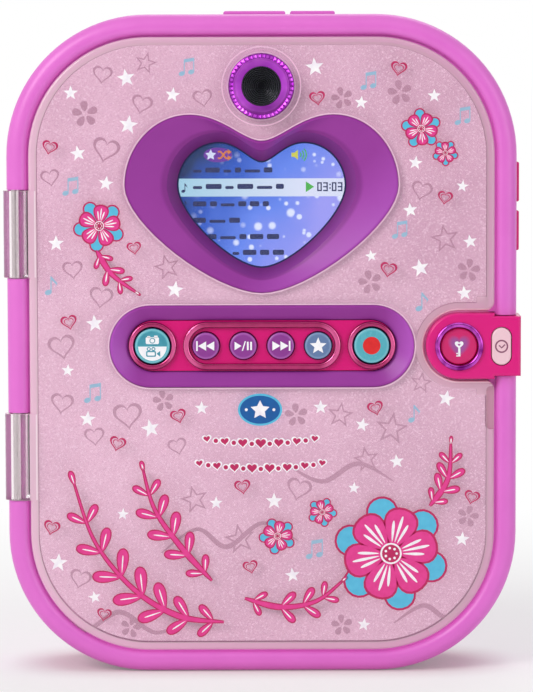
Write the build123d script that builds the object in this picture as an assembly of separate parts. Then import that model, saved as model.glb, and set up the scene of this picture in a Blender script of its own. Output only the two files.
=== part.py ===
from build123d import *
import os
from dataclasses import dataclass, replace

# Electronic secret diary: a book-sized plastic casing that stands on its bottom edge, with a
# clear, glitter-backed lid hinged on two steel pins at the left. Heart and pill shaped cut-outs
# in the lid leave the screen and the buttons in reach while it is shut. Under the lid lie the
# console with the screen, camera and buttons, and a tray that holds a small notebook.
#
# Millimetres. Seen from the front, +X is right and +Z is up; the front faces -Y. The origin is
# on the flat bottom face, at mid width and at the casing's mid depth.

# How far a cut runs past the face that it leaves by.
PAST = 1.0
# How near a corner has to be to a line to count as lying on it.
ON_LINE = 0.01
# The film of clear adhesive between a clear piece and what lies behind it.
BOND = 0.05

# ---------------------------------------------------------------- casing
BODY_WIDTH = 170.0
BODY_HEIGHT = 220.0
BODY_DEPTH = 44.0
CORNER_R = 47.0
WALL = 2.4
BACK_WALL = 3.0
FRONT_SHELL_DEPTH = 28.0
RIM_WIDTH = 6.9
RIM_OUTER_R = 4.0
RIM_INNER_R = 2.4
BACK_EDGE_R = 7.0
POST_R = 3.5
SCREW_R = 1.45
SCREW_HEAD_R = 2.8
SCREW_HEAD_HEIGHT = 1.6
SCREW_LENGTH = 16.0
SCREW_FIT = 0.05
SCREW_CROSS_LENGTH = 3.0
SCREW_CROSS_WIDTH = 0.7
SCREW_CROSS_DEPTH = 0.8
SIDE_SCREW_INSET = 15.0
SIDE_SCREW_RISE = 72.0
END_SCREW_INSET = 10.0
RIB = 2.5

# ---------------------------------------------------------------- lid
LID_GAP = 0.6
LID_PROUD = 0.3
LID_THICKNESS = 2.8
LID_EDGE_R = 1.0
CLEAR_BORDER = 2.7
CLEAR_CUTOUT_BORDER = 1.0
GLITTER_THICKNESS = 0.8
CUTOUT_GAP = 0.5
SEAT_GAP = 0.3
LEDGE_WIDTH = 2.4
LEDGE_THICKNESS = 1.7
LENS_COLLAR_WIDTH = 2.0
LENS_COLLAR_PROUD = 0.8
NOTCH_CORNER_R = 3.0
SCOOP_WIDTH = 2.7
SCOOP_LENGTH = 14.4
SCOOP_DROP = 20.7
SCOOP_DEPTH = 1.8

# ---------------------------------------------------------------- hinge
HINGE_INSET = 3.1
HINGE_DEPTH = 3.5
BARREL_R = 4.2
PIN_R = 1.5
PIN_FIT = 0.06
PIN_SEAT_FIT = 0.02
PIN_GRIP = 6.0
KNUCKLE_LENGTH = 29.0
KNUCKLE_SPACING = 74.5
KNUCKLE_GAP = 0.3
ARM_REACH = 2.2
HINGE_BLOCK_WALL = 1.5

# ---------------------------------------------------------------- console
PANEL_THICKNESS = 2.0
PANEL_OVERLAP = 1.8
BEZEL_SINK = 0.3
BEZEL_LIP = 0.8
BEZEL_SLOPE = 3.0
COLLAR_WALL = 1.4
COLLAR_DEPTH = 3.3
PASS_GAP = 0.3
WINDOW_THICKNESS = 1.2
WINDOW_MARGIN = 1.2
LCD_WIDTH = 69.0
LCD_HEIGHT = 50.0
LCD_THICKNESS = 3.4
LCD_RISE = -5.2

# ---------------------------------------------------------------- heart outlines
HEART_WIDTH = 90.8
HEART_LOBE_X = 23.9
HEART_UP = 23.4
HEART_NOTCH = 14.7
HEART_DOWN = 35.7
HEART_DROP = 32.9
SCREEN_WIDTH = 56.6
SCREEN_LOBE_X = 14.2
SCREEN_UP = 14.6
SCREEN_NOTCH = 8.2
SCREEN_DOWN = 27.6
SCREEN_DROP = 0.3
SCREEN_STEP = 3.3
# How far each curve runs on before it turns, as a share of its span.
NOTCH_EASE = 0.25
LOBE_EASE = 0.55
SHOULDER_EASE = 0.55
SIDE_EASE = 0.36
TIP_EASE = 0.34

# ---------------------------------------------------------------- button row
CONTROLS_DROP = 53.6
CONTROL_INSET = 34.25
KEYPLATE_INSET = 5.95
CONTROL_SLOPE_HEIGHT = 5.0
KEYPLATE_MARGIN = 0.6
KEYPLATE_SINK = 3.1
KEYPLATE_FLANGE = 2.0
KEYPLATE_FLANGE_T = 1.0
FIT = 0.25
END_BUTTON_MARGIN = 0.15
# Button radii and the small buttons' pitch, as shares of the key plate's width.
END_BUTTON_SHARE = 0.067
SMALL_BUTTON_SHARE = 0.0513
SMALL_PITCH_SHARE = 0.1395
BUTTON_FLANGE = 1.0
BUTTON_FLANGE_T = 0.9
BUTTON_PROUD = 1.5
BUTTON_EDGE_R = 0.7
BUTTON_GAP = 0.2
BUTTON_TRAVEL = 0.8
RING_WIDTH = 1.8
RING_PROUD = 1.5
RING_FLAT = 0.4
TRACK_END_ROOM = 0.95
TRACK_SIDE_ROOM = 1.4
TRACK_BAND = 2.1
MEMBRANE_T = 1.0
BOARD_T = 1.6
BOARD_CORNER_R = 2.0
SWITCH_SIZE = 4.0
BUTTON_BOARD_MARGIN = 8.2
BUTTON_BOARD_RISE = 2.7
BUTTON_POST_R = 1.8

# ---------------------------------------------------------------- camera
LENS_DROP = 23.8
LENS_RING_R = 10.8
LENS_RING_PROUD = 2.7
LENS_FACE_R = 9.2
LENS_BEVEL_DEPTH = 1.4
LENS_LIP = 0.6
LENS_R = 6.6
LENS_FIT = 0.05
LENS_FACETS = 36
LENS_FACET_SIZE = 0.9
LENS_GLASS_SINK = 2.0
LENS_GLASS_T = 1.0
LENS_BARREL_LENGTH = 7.5
LENS_BARREL_STEPS = 4
LENS_BARREL_WALL = 0.8
LENS_BARREL_STEP = 1.1
LENS_BARREL_END = 1.0
APERTURE_R = 1.2
CAMERA_SIZE = 10.0
CAMERA_DEPTH = 4.0

# ---------------------------------------------------------------- lock
LOCK_HEIGHT = 22.0
LOCK_LENGTH = 31.6
LOCK_WRAP = 1.2
LOCK_WRAP_HEIGHT = 20.0
LOCK_PROUD = 2.4
LOCK_WALL = 2.0
LOCK_EDGE_R = 0.9
LOCK_WRAP_DEPTH = 9.5
LOCK_CLEARANCE = 0.7
LOCK_BOARD_MARGIN = 4.5
LOCK_BOARD_HEIGHT = 17.0
KEY_FROM_EDGE = 20.6
KEY_BUTTON_R = 6.1
KEY_RING_R = 8.1
KEY_RING_PROUD = 1.0
KEY_BUTTON_SINK = 0.3
CLOCK_FROM_EDGE = 6.5
CLOCK_WIDTH = 6.5
CLOCK_HEIGHT = 12.5
CLOCK_PROUD = 0.3
LOCK_FLANGE = 1.1
LOCK_GUIDE = 1.0
STRIKE_INSET = 13.8
STRIKE_RISE = 18.3
STRIKE_THICKNESS = 2.5
STRIKE_WIDTH = 8.0
STRIKE_REACH = 11.0
STRIKE_FOOT_WIDTH = 6.4
STRIKE_FOOT_HEIGHT = 12.0
STRIKE_FOOT_T = 0.7
STRIKE_SLOT_GAP = 1.2
STRIKE_EYE_GAP = 0.6
BOLT_SIDE = 3.0
BOLT_LENGTH = 22.0
BOLT_DEPTH = 4.0
BOLT_STANDOFF = 4.0
BOLT_FIT = 0.1
BOLT_POINT = 0.5
BOLT_COIL_GAP = 12.0
BOLT_GUIDE_LENGTH = 3.0
BOLT_GUIDE_WALL = 1.4
SOLENOID_LENGTH = 16.0
SOLENOID_HEIGHT = 9.0
SOLENOID_DEPTH = 8.0

# ---------------------------------------------------------------- tray and notebook
TRAY_INSET = 25.0
TRAY_RISE = 20.0
TRAY_DROP = 19.7
TRAY_DEPTH = 14.0
TRAY_CORNER_R = 8.0
TRAY_WALL = 1.6
TRAY_FLANGE = 3.0
TRAY_FLANGE_T = 1.2
NOTEBOOK_SIDE_ROOM = 5.0
NOTEBOOK_TOP_ROOM = 6.0
NOTEBOOK_COVER_T = 1.0
NOTEBOOK_PAGES_T = 6.6
NOTEBOOK_CORNER_R = 4.0
PAGE_INSET = 1.2

# ---------------------------------------------------------------- battery bay, on the back
CELL_R = 7.1
CELL_LENGTH = 49.2
CELL_NUB_R = 2.7
CELL_NUB_LENGTH = 1.3
CELL_PITCH = 15.2
CELL_COUNT = 4
BAY_WALL = 1.5
BAY_FLOOR = 1.5
BAY_MARGIN = 0.6
BAY_CORNER_R = 1.0
BAY_RISE = 22.0
CONTACT_T = 0.5
CONTACT_SIZE = 9.0
SPRING_LENGTH = 5.6
SPRING_STEPS = (4.0, 3.2, 2.4)
DOOR_THICKNESS = 2.0
DOOR_OVERLAP = 2.0
DOOR_GAP = 0.2
DOOR_LUG = 8.0
DOOR_LUG_SCREW = 4.0
DOOR_CORNER_R = 4.0
DOOR_POST_HEIGHT = 7.0
DOOR_SCREW_LENGTH = 6.0
DOOR_SCREW_SINK = 0.1
GRIP_COUNT = 4
GRIP_PITCH = 3.5
GRIP_RISE = 10.0
GRIP_LENGTH = 24.0
GRIP_WIDTH = 1.4
GRIP_DEPTH = 0.6

# ---------------------------------------------------------------- edge buttons and ports
VOLUME_LENGTH = 13.4
VOLUME_SPACING = 16.4
VOLUME_RISE = 45.5
VOLUME_WIDTH = 5.0
VOLUME_PROUD = 1.8
VOLUME_BOARD_MARGIN = 3.0
POWER_X = 17.2
POWER_LENGTH = 15.0
POWER_WIDTH = 7.0
TOP_PROUD = 1.2
EDGE_FLANGE = 1.0
EDGE_FLANGE_T = 1.0
PORT_X = -2.3
PORT_COVER_LENGTH = 20.8
PORT_COVER_WIDTH = 9.0
PORT_COVER_SINK = 1.0
PORT_EDGE_R = 0.8
PORT_BEAD_R = (TOP_PROUD + PORT_COVER_SINK) / 2
JACK_R = 2.4
JACK_BORE_R = 1.75
JACK_BODY = 5.0
JACK_NOSE = 0.8
JACK_DEPTH = 11.0
USB_WIDTH = 8.0
USB_HEIGHT = 2.8
USB_PROUD = 0.6
USB_SKIN = 0.5
USB_DEPTH = 6.0
PORT_SPREAD = 5.4
PORT_LENGTH = 14.0

# ---------------------------------------------------------------- boards and sound
PCB_INSET = 25.0
PCB_DROP = 8.7
PCB_TOP_GAP = 14.0
PCB_STANDOFF = 9.5
PCB_POST_R = 2.2
PCB_POST_INSET = 3.0
# Each chip's place across the board, its rise above the board's bottom edge, and its three sizes.
MAIN_CHIPS = [(18, 49, 16, 16, 1.6), (-4, 49, 12, 9, 1.2), (38, 71, 9, 9, 1.4), (36, 27, 6, 10, 3.0)]
SPEAKER_INSET = 47.0
SPEAKER_RISE = 55.0
SPEAKER_R = 18.0
SPEAKER_RIM_T = 1.2
BASKET_DEPTH = 3.5
BASKET_WIDE_R = 16.5
BASKET_NARROW_R = 10.8
MAGNET_R = 9.9
MAGNET_DEPTH = 2.5
GASKET_WIDTH = 2.0
GASKET_T = 0.6
GRILLE_SLOTS = 7
GRILLE_PITCH = 4.2
GRILLE_SLOT_WIDTH = 1.8
GRILLE_FILL = 0.85
MIC_X = 24.0
MIC_DROP = 17.0
MIC_R = 3.0
MIC_LENGTH = 3.0
SOUND_HOLE_R = 0.7

# ---------------------------------------------------------------- places worked out from the sizes
HALF_WIDTH = BODY_WIDTH / 2
CENTRE_Z = BODY_HEIGHT / 2
RIM_FRONT = -BODY_DEPTH / 2
BACK = BODY_DEPTH / 2
INNER_BACK = BACK - BACK_WALL
PART_LINE = RIM_FRONT + FRONT_SHELL_DEPTH

LID_FRONT = RIM_FRONT - LID_PROUD
LID_BACK = LID_FRONT + LID_THICKNESS
LID_INSET = RIM_WIDTH + LID_GAP
GLITTER_FRONT = LID_BACK + BOND
GLITTER_BACK = GLITTER_FRONT + GLITTER_THICKNESS
SEAT = LID_BACK + SEAT_GAP
LEDGE_INSET = RIM_WIDTH + LEDGE_WIDTH
PANEL_FRONT = SEAT + LEDGE_THICKNESS
PANEL_BACK = PANEL_FRONT + PANEL_THICKNESS
PANEL_INSET = LEDGE_INSET - PANEL_OVERLAP

HINGE_X = -HALF_WIDTH + HINGE_INSET
HINGE_Y = RIM_FRONT + HINGE_DEPTH
KNUCKLE_Z = (CENTRE_Z - KNUCKLE_SPACING / 2, CENTRE_Z + KNUCKLE_SPACING / 2)
ARM_FRONT = HINGE_Y - BARREL_R
POCKET_R = BARREL_R + KNUCKLE_GAP
POCKET_LENGTH = KNUCKLE_LENGTH + 2 * KNUCKLE_GAP
BLOCK_EDGE_X = HINGE_X + POCKET_R + HINGE_BLOCK_WALL
BLOCK_BACK = HINGE_Y + POCKET_R + HINGE_BLOCK_WALL
BLOCK_LENGTH = POCKET_LENGTH + 2 * (PIN_GRIP + HINGE_BLOCK_WALL)

LENS_Z = BODY_HEIGHT - LENS_DROP
HEART_Z = LENS_Z - HEART_DROP
CONTROLS_Z = HEART_Z - CONTROLS_DROP
BEZEL_FRONT = RIM_FRONT + BEZEL_SINK
SLOPE_END = BEZEL_FRONT + BEZEL_SLOPE
COLLAR_BACK = PANEL_FRONT + COLLAR_DEPTH
WINDOW_BACK = COLLAR_BACK + WINDOW_THICKNESS
LCD_FRONT = WINDOW_BACK + BOND
LCD_BACK = LCD_FRONT + LCD_THICKNESS
LCD_Z = HEART_Z + LCD_RISE

CONTROL_WIDTH = 2 * (HALF_WIDTH - CONTROL_INSET)
KEYPLATE_WIDTH = CONTROL_WIDTH - 2 * KEYPLATE_INSET
END_BUTTON_R = END_BUTTON_SHARE * KEYPLATE_WIDTH
SMALL_BUTTON_R = SMALL_BUTTON_SHARE * KEYPLATE_WIDTH
SMALL_BUTTON_PITCH = SMALL_PITCH_SHARE * KEYPLATE_WIDTH
END_RING_R = END_BUTTON_R + FIT + RING_WIDTH
END_BUTTON_X = KEYPLATE_WIDTH / 2 - END_RING_R - END_BUTTON_MARGIN
KEYPLATE_HEIGHT = 2 * (END_RING_R + KEYPLATE_MARGIN)
CONTROL_HEIGHT = KEYPLATE_HEIGHT + 2 * CONTROL_SLOPE_HEIGHT
TRACK_WIDTH = 3 * SMALL_BUTTON_PITCH + 2 * (SMALL_BUTTON_R + TRACK_END_ROOM + TRACK_BAND)
TRACK_HEIGHT = 2 * (SMALL_BUTTON_R + TRACK_SIDE_ROOM + TRACK_BAND)
BUTTON_BOARD_HEIGHT = KEYPLATE_HEIGHT + BUTTON_BOARD_RISE
BUTTON_BOARD_WIDTH = KEYPLATE_WIDTH + 2 * BUTTON_BOARD_MARGIN
KEYPLATE_FRONT = RIM_FRONT + KEYPLATE_SINK
KEYPLATE_BACK = PANEL_BACK + KEYPLATE_FLANGE_T
FLANGE_FRONT = KEYPLATE_BACK + BUTTON_GAP
FLANGE_BACK = FLANGE_FRONT + BUTTON_FLANGE_T
MEMBRANE_FRONT = FLANGE_BACK + BUTTON_TRAVEL + BUTTON_GAP / 2
MEMBRANE_BACK = MEMBRANE_FRONT + MEMBRANE_T
BUTTON_BOARD_BACK = MEMBRANE_BACK + BOARD_T

LENS_RING_FRONT = LID_FRONT - LENS_RING_PROUD
LENS_GLASS_FRONT = LENS_RING_FRONT + LENS_GLASS_SINK
LENS_GLASS_BACK = LENS_GLASS_FRONT + LENS_GLASS_T
LENS_BARREL_FRONT = LENS_GLASS_BACK + BOND
LENS_BARREL_BACK = LENS_BARREL_FRONT + LENS_BARREL_LENGTH

LOCK_RIGHT = HALF_WIDTH + LOCK_WRAP
LOCK_LEFT = LOCK_RIGHT - LOCK_LENGTH
LOCK_STEP_X = HALF_WIDTH - LID_INSET
LOCK_FRONT = RIM_FRONT - LOCK_PROUD
KEY_X = LOCK_RIGHT - KEY_FROM_EDGE
CLOCK_X = LOCK_RIGHT - CLOCK_FROM_EDGE
LOCK_FLANGE_FRONT = PANEL_FRONT - BUTTON_FLANGE_T
STRIKE_X = HALF_WIDTH - STRIKE_INSET
STRIKE_Z = CONTROLS_Z + STRIKE_RISE
STRIKE_BACK = LID_BACK + STRIKE_REACH
BOLT_Y = PANEL_BACK + BOLT_DEPTH
BOLT_TIP = STRIKE_X - STRIKE_THICKNESS / 2 - BOLT_STANDOFF
SOLENOID_RIGHT = BOLT_TIP - BOLT_COIL_GAP

TRAY_WIDTH = BODY_WIDTH - 2 * TRAY_INSET
TRAY_HEIGHT = CONTROLS_Z - TRAY_DROP - TRAY_RISE
TRAY_Z = TRAY_RISE + TRAY_HEIGHT / 2
TRAY_FLOOR = PANEL_BACK + TRAY_DEPTH
NOTEBOOK_WIDTH = TRAY_WIDTH - 2 * NOTEBOOK_SIDE_ROOM
NOTEBOOK_HEIGHT = TRAY_HEIGHT - NOTEBOOK_TOP_ROOM
NOTEBOOK_Z = TRAY_RISE + NOTEBOOK_HEIGHT / 2
NOTEBOOK_FRONT = TRAY_FLOOR - NOTEBOOK_PAGES_T - 2 * NOTEBOOK_COVER_T

BAY_WIDTH = CELL_LENGTH + CELL_NUB_LENGTH + SPRING_LENGTH + 2 * CONTACT_T
BAY_HEIGHT = CELL_PITCH * CELL_COUNT
BAY_Z = BAY_RISE + BAY_HEIGHT / 2
BAY_BACK = BACK - DOOR_THICKNESS
CELL_Y = BAY_BACK - BAY_MARGIN - CELL_R
BAY_FLOOR_FRONT = CELL_Y - CELL_R - BAY_MARGIN - BAY_FLOOR
DOOR_WIDTH = BAY_WIDTH + 2 * DOOR_OVERLAP
DOOR_HEIGHT = BAY_HEIGHT + 2 * DOOR_OVERLAP + DOOR_LUG
DOOR_Z = BAY_RISE - DOOR_OVERLAP + DOOR_HEIGHT / 2
DOOR_SCREW_Z = DOOR_Z + DOOR_HEIGHT / 2 - DOOR_LUG_SCREW

PCB_WIDTH = BODY_WIDTH - 2 * PCB_INSET
PCB_BOTTOM = CONTROLS_Z - PCB_DROP
PCB_TOP = BODY_HEIGHT - PCB_TOP_GAP
PCB_FRONT = PANEL_BACK + PCB_STANDOFF
PCB_BACK = PCB_FRONT + BOARD_T
PCB_POSTS = [
    (side * (PCB_WIDTH / 2 - PCB_POST_INSET), z)
    for side in (-1, 1)
    for z in (PCB_BOTTOM + PCB_POST_INSET, PCB_TOP - 2 * PCB_POST_INSET)
]
EDGE_ROW_Y = PCB_BACK + JACK_BODY / 2
USB_Y = PCB_BACK + USB_HEIGHT / 2
PORT_HINGE_Y = EDGE_ROW_Y + PORT_COVER_WIDTH / 2 - PORT_BEAD_R
PORT_HINGE_Z = BODY_HEIGHT + TOP_PROUD - PORT_BEAD_R
SPEAKER_X = SPEAKER_INSET - HALF_WIDTH
SPEAKER_Z = CENTRE_Z + SPEAKER_RISE
MIC_Z = BODY_HEIGHT - MIC_DROP
SIDE_SCREW_X = HALF_WIDTH - SIDE_SCREW_INSET
END_SCREW_X = HALF_WIDTH - CORNER_R
SIDE_SCREWS = [
    (side * SIDE_SCREW_X, CENTRE_Z + rise)
    for side in (-1, 1)
    for rise in (-SIDE_SCREW_RISE, SIDE_SCREW_RISE)
]
END_SCREWS = [
    (side * END_SCREW_X, z)
    for side in (-1, 1)
    for z in (END_SCREW_INSET, BODY_HEIGHT - END_SCREW_INSET)
]
VOLUME_FLANGE_X = HALF_WIDTH - WALL - FIT
VOLUME_BOARD_X = VOLUME_FLANGE_X - EDGE_FLANGE_T - BUTTON_TRAVEL - FIT - 2 * BOARD_T
VOLUME_REACH = (VOLUME_SPACING + VOLUME_LENGTH) / 2 + VOLUME_BOARD_MARGIN
VOLUME_BOARD_Z = (CENTRE_Z + VOLUME_RISE - VOLUME_REACH, CENTRE_Z + VOLUME_RISE + VOLUME_REACH)
POWER_FLANGE_Z = BODY_HEIGHT - WALL - FIT
SCREW_TIP = INNER_BACK - SCREW_HEAD_HEIGHT - SCREW_LENGTH
VOLUME_Z = [CENTRE_Z + VOLUME_RISE + step * VOLUME_SPACING / 2 for step in (-1, 1)]


@dataclass
class Heart:
    """A heart by its half width, lobe place, and heights above and below its widest line."""

    half: float
    lobe: float
    up: float
    notch: float
    down: float
    z: float

    def grown(self, by):
        return replace(
            self, half=self.half + by, up=self.up + by, notch=self.notch + by, down=self.down + by
        )

    def face(self):
        notch, top, side, tip = (0, self.notch), (self.lobe, self.up), (self.half, 0), (0, -self.down)
        shoulder = self.lobe + SHOULDER_EASE * (self.half - self.lobe)
        curves = [
            (notch, (NOTCH_EASE * self.lobe, self.notch), (LOBE_EASE * self.lobe, self.up), top),
            (top, (shoulder, self.up), (self.half, SHOULDER_EASE * self.up), side),
            (side, (self.half, -SIDE_EASE * self.down), (TIP_EASE * self.half, -self.down), tip),
        ]
        right = [Bezier(*points) for points in curves]
        left = [Bezier(*[(-x, z) for x, z in points]) for points in curves]
        return Pos(0, self.z) * make_face(right + left)


HEART_OUTER = Heart(
    half=HEART_WIDTH / 2, lobe=HEART_LOBE_X, up=HEART_UP, notch=HEART_NOTCH, down=HEART_DOWN,
    z=HEART_Z,
)
HEART_SCREEN = Heart(
    half=SCREEN_WIDTH / 2, lobe=SCREEN_LOBE_X, up=SCREEN_UP, notch=SCREEN_NOTCH, down=SCREEN_DOWN,
    z=HEART_Z - SCREEN_DROP,
)
HEART_STEP = HEART_SCREEN.grown(SCREEN_STEP)


# ---------------------------------------------------------------- helpers
def prism(outline, front, back):
    """An outline drawn in X and Z, made solid between two depths."""
    return extrude(Plane.XZ.offset(-back) * outline, amount=back - front)


def taper(front_outline, front, back_outline, back):
    """A solid that runs straight from one outline to another at a greater depth."""
    return loft(
        [Plane.XZ.offset(-front) * front_outline, Plane.XZ.offset(-back) * back_outline],
        ruled=True,
    )


def disc(x, z, radius):
    return Pos(x, z) * Circle(radius)


def rounded(x, z, width, height, radius):
    return Pos(x, z) * RectangleRounded(width, height, radius)


def pill(x, z, width, height):
    """A slot outline with round ends, lying or standing."""
    if width > height:
        return Pos(x, z) * SlotOverall(width, height)
    return Pos(x, z) * SlotOverall(height, width, rotation=90)


def block(x0, x1, y0, y1, z0, z1):
    return Pos((x0 + x1) / 2, (y0 + y1) / 2, (z0 + z1) / 2) * Box(x1 - x0, y1 - y0, z1 - z0)


def upright_rod(x, y, z, radius, length):
    return Pos(x, y, z) * Cylinder(radius, length)


def cross_rod(x, y, z, radius, length):
    return Pos(x, y, z) * Rot(0, 90, 0) * Cylinder(radius, length)


def strip(x0, x1, height):
    """A level strip at the height of the button row."""
    return Pos((x0 + x1) / 2, CONTROLS_Z) * Rectangle(x1 - x0, height)


def casing_outline(inset):
    return rounded(
        0, CENTRE_Z, BODY_WIDTH - 2 * inset, BODY_HEIGHT - 2 * inset, CORNER_R - inset
    )


def front_edges(solid):
    """The edges round the solid's foremost flat face, outside ones only."""
    face = solid.faces().filter_by(Axis.Y).sort_by(Axis.Y)[0]
    return face.outer_wire().edges()


def lock_outline(grow):
    """The lock's outline from the front: a round left end and a narrower run across the rim."""
    centre_x = LOCK_LEFT + LOCK_HEIGHT / 2
    run = strip(centre_x, LOCK_STEP_X, LOCK_HEIGHT + 2 * grow)
    wrap = strip(LOCK_STEP_X, LOCK_RIGHT + min(grow, 0), LOCK_WRAP_HEIGHT + 2 * grow)
    return run + wrap + disc(centre_x, CONTROLS_Z, LOCK_HEIGHT / 2 + grow)


def lid_outline(inset):
    """The lid's outline: the casing's own shape, drawn in, with the notch for the lock."""
    outer = casing_outline(LID_INSET + inset)
    plain = outer - lock_outline(LOCK_CLEARANCE + inset)
    edge = HALF_WIDTH - LID_INSET - inset
    mouth = [
        corner for corner in plain.vertices()
        if abs(corner.X - edge) < ON_LINE and abs(corner.Y - CONTROLS_Z) < LOCK_HEIGHT
    ]
    return fillet(mouth, NOTCH_CORNER_R)


def lid_cutouts(grow):
    """The lid's windows: the heart, the pill and the round camera hole."""
    gap = CUTOUT_GAP + grow
    return (
        HEART_OUTER.grown(gap).face(),
        pill(0, CONTROLS_Z, CONTROL_WIDTH + 2 * gap, CONTROL_HEIGHT + 2 * gap),
        disc(0, LENS_Z, LENS_RING_R + gap),
    )


# ---------------------------------------------------------------- casing
def front_frame():
    """The front half of the casing: walls, the rounded rim and the ledge that the lid lies on."""
    shell = prism(casing_outline(0), RIM_FRONT, PART_LINE)
    shell = fillet(front_edges(shell), RIM_OUTER_R)
    shell -= prism(casing_outline(RIM_WIDTH), RIM_FRONT, SEAT)
    rim = shell.faces().filter_by(Axis.Y).sort_by(Axis.Y)[0]
    shell = fillet(rim.inner_wires()[0].edges(), RIM_INNER_R)
    shell -= prism(casing_outline(LEDGE_INSET), SEAT, PANEL_FRONT)
    shell -= prism(casing_outline(WALL), PANEL_FRONT, PART_LINE)
    shell += frame_posts()
    shell += volume_brackets()
    for z in KNUCKLE_Z:
        shell += hinge_block(z)
    for z in KNUCKLE_Z:
        shell -= hinge_pocket(z)
    shell -= lock_gap()
    shell -= edge_openings()
    return shell


def frame_posts():
    """The posts that the case screws bite into, each tied to the nearest wall by a rib."""
    posts = None
    for x, z in SIDE_SCREWS:
        wall = HALF_WIDTH if x > 0 else -HALF_WIDTH
        rib = block(min(x, wall), max(x, wall), PANEL_BACK, PART_LINE, z - RIB / 2, z + RIB / 2)
        rib += prism(disc(x, z, POST_R), PANEL_BACK, PART_LINE)
        posts = rib if posts is None else posts + rib
    for x, z in END_SCREWS:
        wall = 0 if z < CENTRE_Z else BODY_HEIGHT
        rib = block(x - RIB / 2, x + RIB / 2, PANEL_BACK, PART_LINE, min(z, wall), max(z, wall))
        posts += rib + prism(disc(x, z, POST_R), PANEL_BACK, PART_LINE)
    posts = posts & prism(casing_outline(WALL / 2), PANEL_BACK, PART_LINE)
    for x, z in SIDE_SCREWS + END_SCREWS:
        posts -= prism(disc(x, z, SCREW_R + SCREW_FIT), SCREW_TIP - SCREW_FIT, PART_LINE)
    return posts


def hinge_block(z):
    """Thicker plastic behind the rim, which holds the pin's two ends."""
    low, high = z - BLOCK_LENGTH / 2, z + BLOCK_LENGTH / 2
    return block(-HALF_WIDTH + WALL / 2, BLOCK_EDGE_X, PANEL_FRONT, BLOCK_BACK, low, high)


def hinge_pocket(z):
    """Room for one knuckle and its arm, open to the front and the left, and the pin's hole."""
    low, high = z - POCKET_LENGTH / 2, z + POCKET_LENGTH / 2
    outside = -HALF_WIDTH - POCKET_R
    front = HINGE_Y - 2 * POCKET_R
    pocket = upright_rod(HINGE_X, HINGE_Y, z, POCKET_R, POCKET_LENGTH)
    pocket += block(outside, -HALF_WIDTH + RIM_WIDTH, front, HINGE_Y, low, high)
    pocket += block(outside, HINGE_X, front, HINGE_Y + POCKET_R, low, high)
    pin_room = POCKET_LENGTH + 2 * PIN_GRIP
    return pocket + upright_rod(HINGE_X, HINGE_Y, z, PIN_R + PIN_SEAT_FIT, pin_room)


def lock_gap():
    """The rim is cut away where the lock sits across it, with room for the pressed clock button."""
    ledge = strip(HALF_WIDTH - 2 * LEDGE_INSET, LOCK_STEP_X + FIT, LOCK_HEIGHT + 2 * FIT)
    rim = strip(LOCK_STEP_X, LOCK_RIGHT, LOCK_WRAP_HEIGHT + 2 * FIT)
    grow = 2 * (LOCK_FLANGE + FIT)
    press = prism(
        pill(CLOCK_X, CONTROLS_Z, CLOCK_WIDTH + grow, CLOCK_HEIGHT + grow),
        PANEL_FRONT, PANEL_FRONT + BUTTON_TRAVEL + FIT,
    )
    return prism(ledge, SEAT, PANEL_FRONT) + prism(rim, RIM_FRONT, PANEL_FRONT) + press


def edge_openings():
    """The openings in the right and top walls for the edge buttons and the ports."""
    cuts = port_cover_pocket()
    top, inner_top = BODY_HEIGHT + PAST, BODY_HEIGHT - WALL - PAST
    side, inner_side = HALF_WIDTH + PAST, HALF_WIDTH - WALL - PAST
    for z in VOLUME_Z:
        half = VOLUME_LENGTH / 2 + FIT
        width = VOLUME_WIDTH / 2 + FIT
        cuts += block(inner_side, side, EDGE_ROW_Y - width, EDGE_ROW_Y + width, z - half, z + half)
    half, width = POWER_LENGTH / 2 + FIT, POWER_WIDTH / 2 + FIT
    cuts += block(POWER_X - half, POWER_X + half, EDGE_ROW_Y - width, EDGE_ROW_Y + width, inner_top, top)
    cuts += upright_rod(PORT_X - PORT_SPREAD, EDGE_ROW_Y, BODY_HEIGHT - WALL, JACK_R + FIT, 2 * WALL)
    usb_half = USB_WIDTH / 2 + FIT
    cuts += block(
        PORT_X + PORT_SPREAD - usb_half, PORT_X + PORT_SPREAD + usb_half,
        USB_Y - USB_HEIGHT / 2 - FIT, USB_Y + USB_HEIGHT / 2 + FIT, inner_top, top,
    )
    return cuts


def port_cover_pocket():
    half, width = PORT_COVER_LENGTH / 2 + FIT, PORT_COVER_WIDTH / 2 + FIT
    return block(
        PORT_X - half, PORT_X + half, EDGE_ROW_Y - width, EDGE_ROW_Y + width,
        BODY_HEIGHT - PORT_COVER_SINK - FIT, BODY_HEIGHT + PAST,
    )


def volume_brackets():
    """Two ribs on the right wall that hold the volume switch board at its ends."""
    y0, y1 = EDGE_ROW_Y - VOLUME_WIDTH, EDGE_ROW_Y + VOLUME_WIDTH
    low, high = VOLUME_BOARD_Z
    lower = block(VOLUME_BOARD_X, HALF_WIDTH - WALL / 2, y0, y1, low - BOARD_T, low)
    return lower + block(VOLUME_BOARD_X, HALF_WIDTH - WALL / 2, y0, y1, high, high + BOARD_T)


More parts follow.
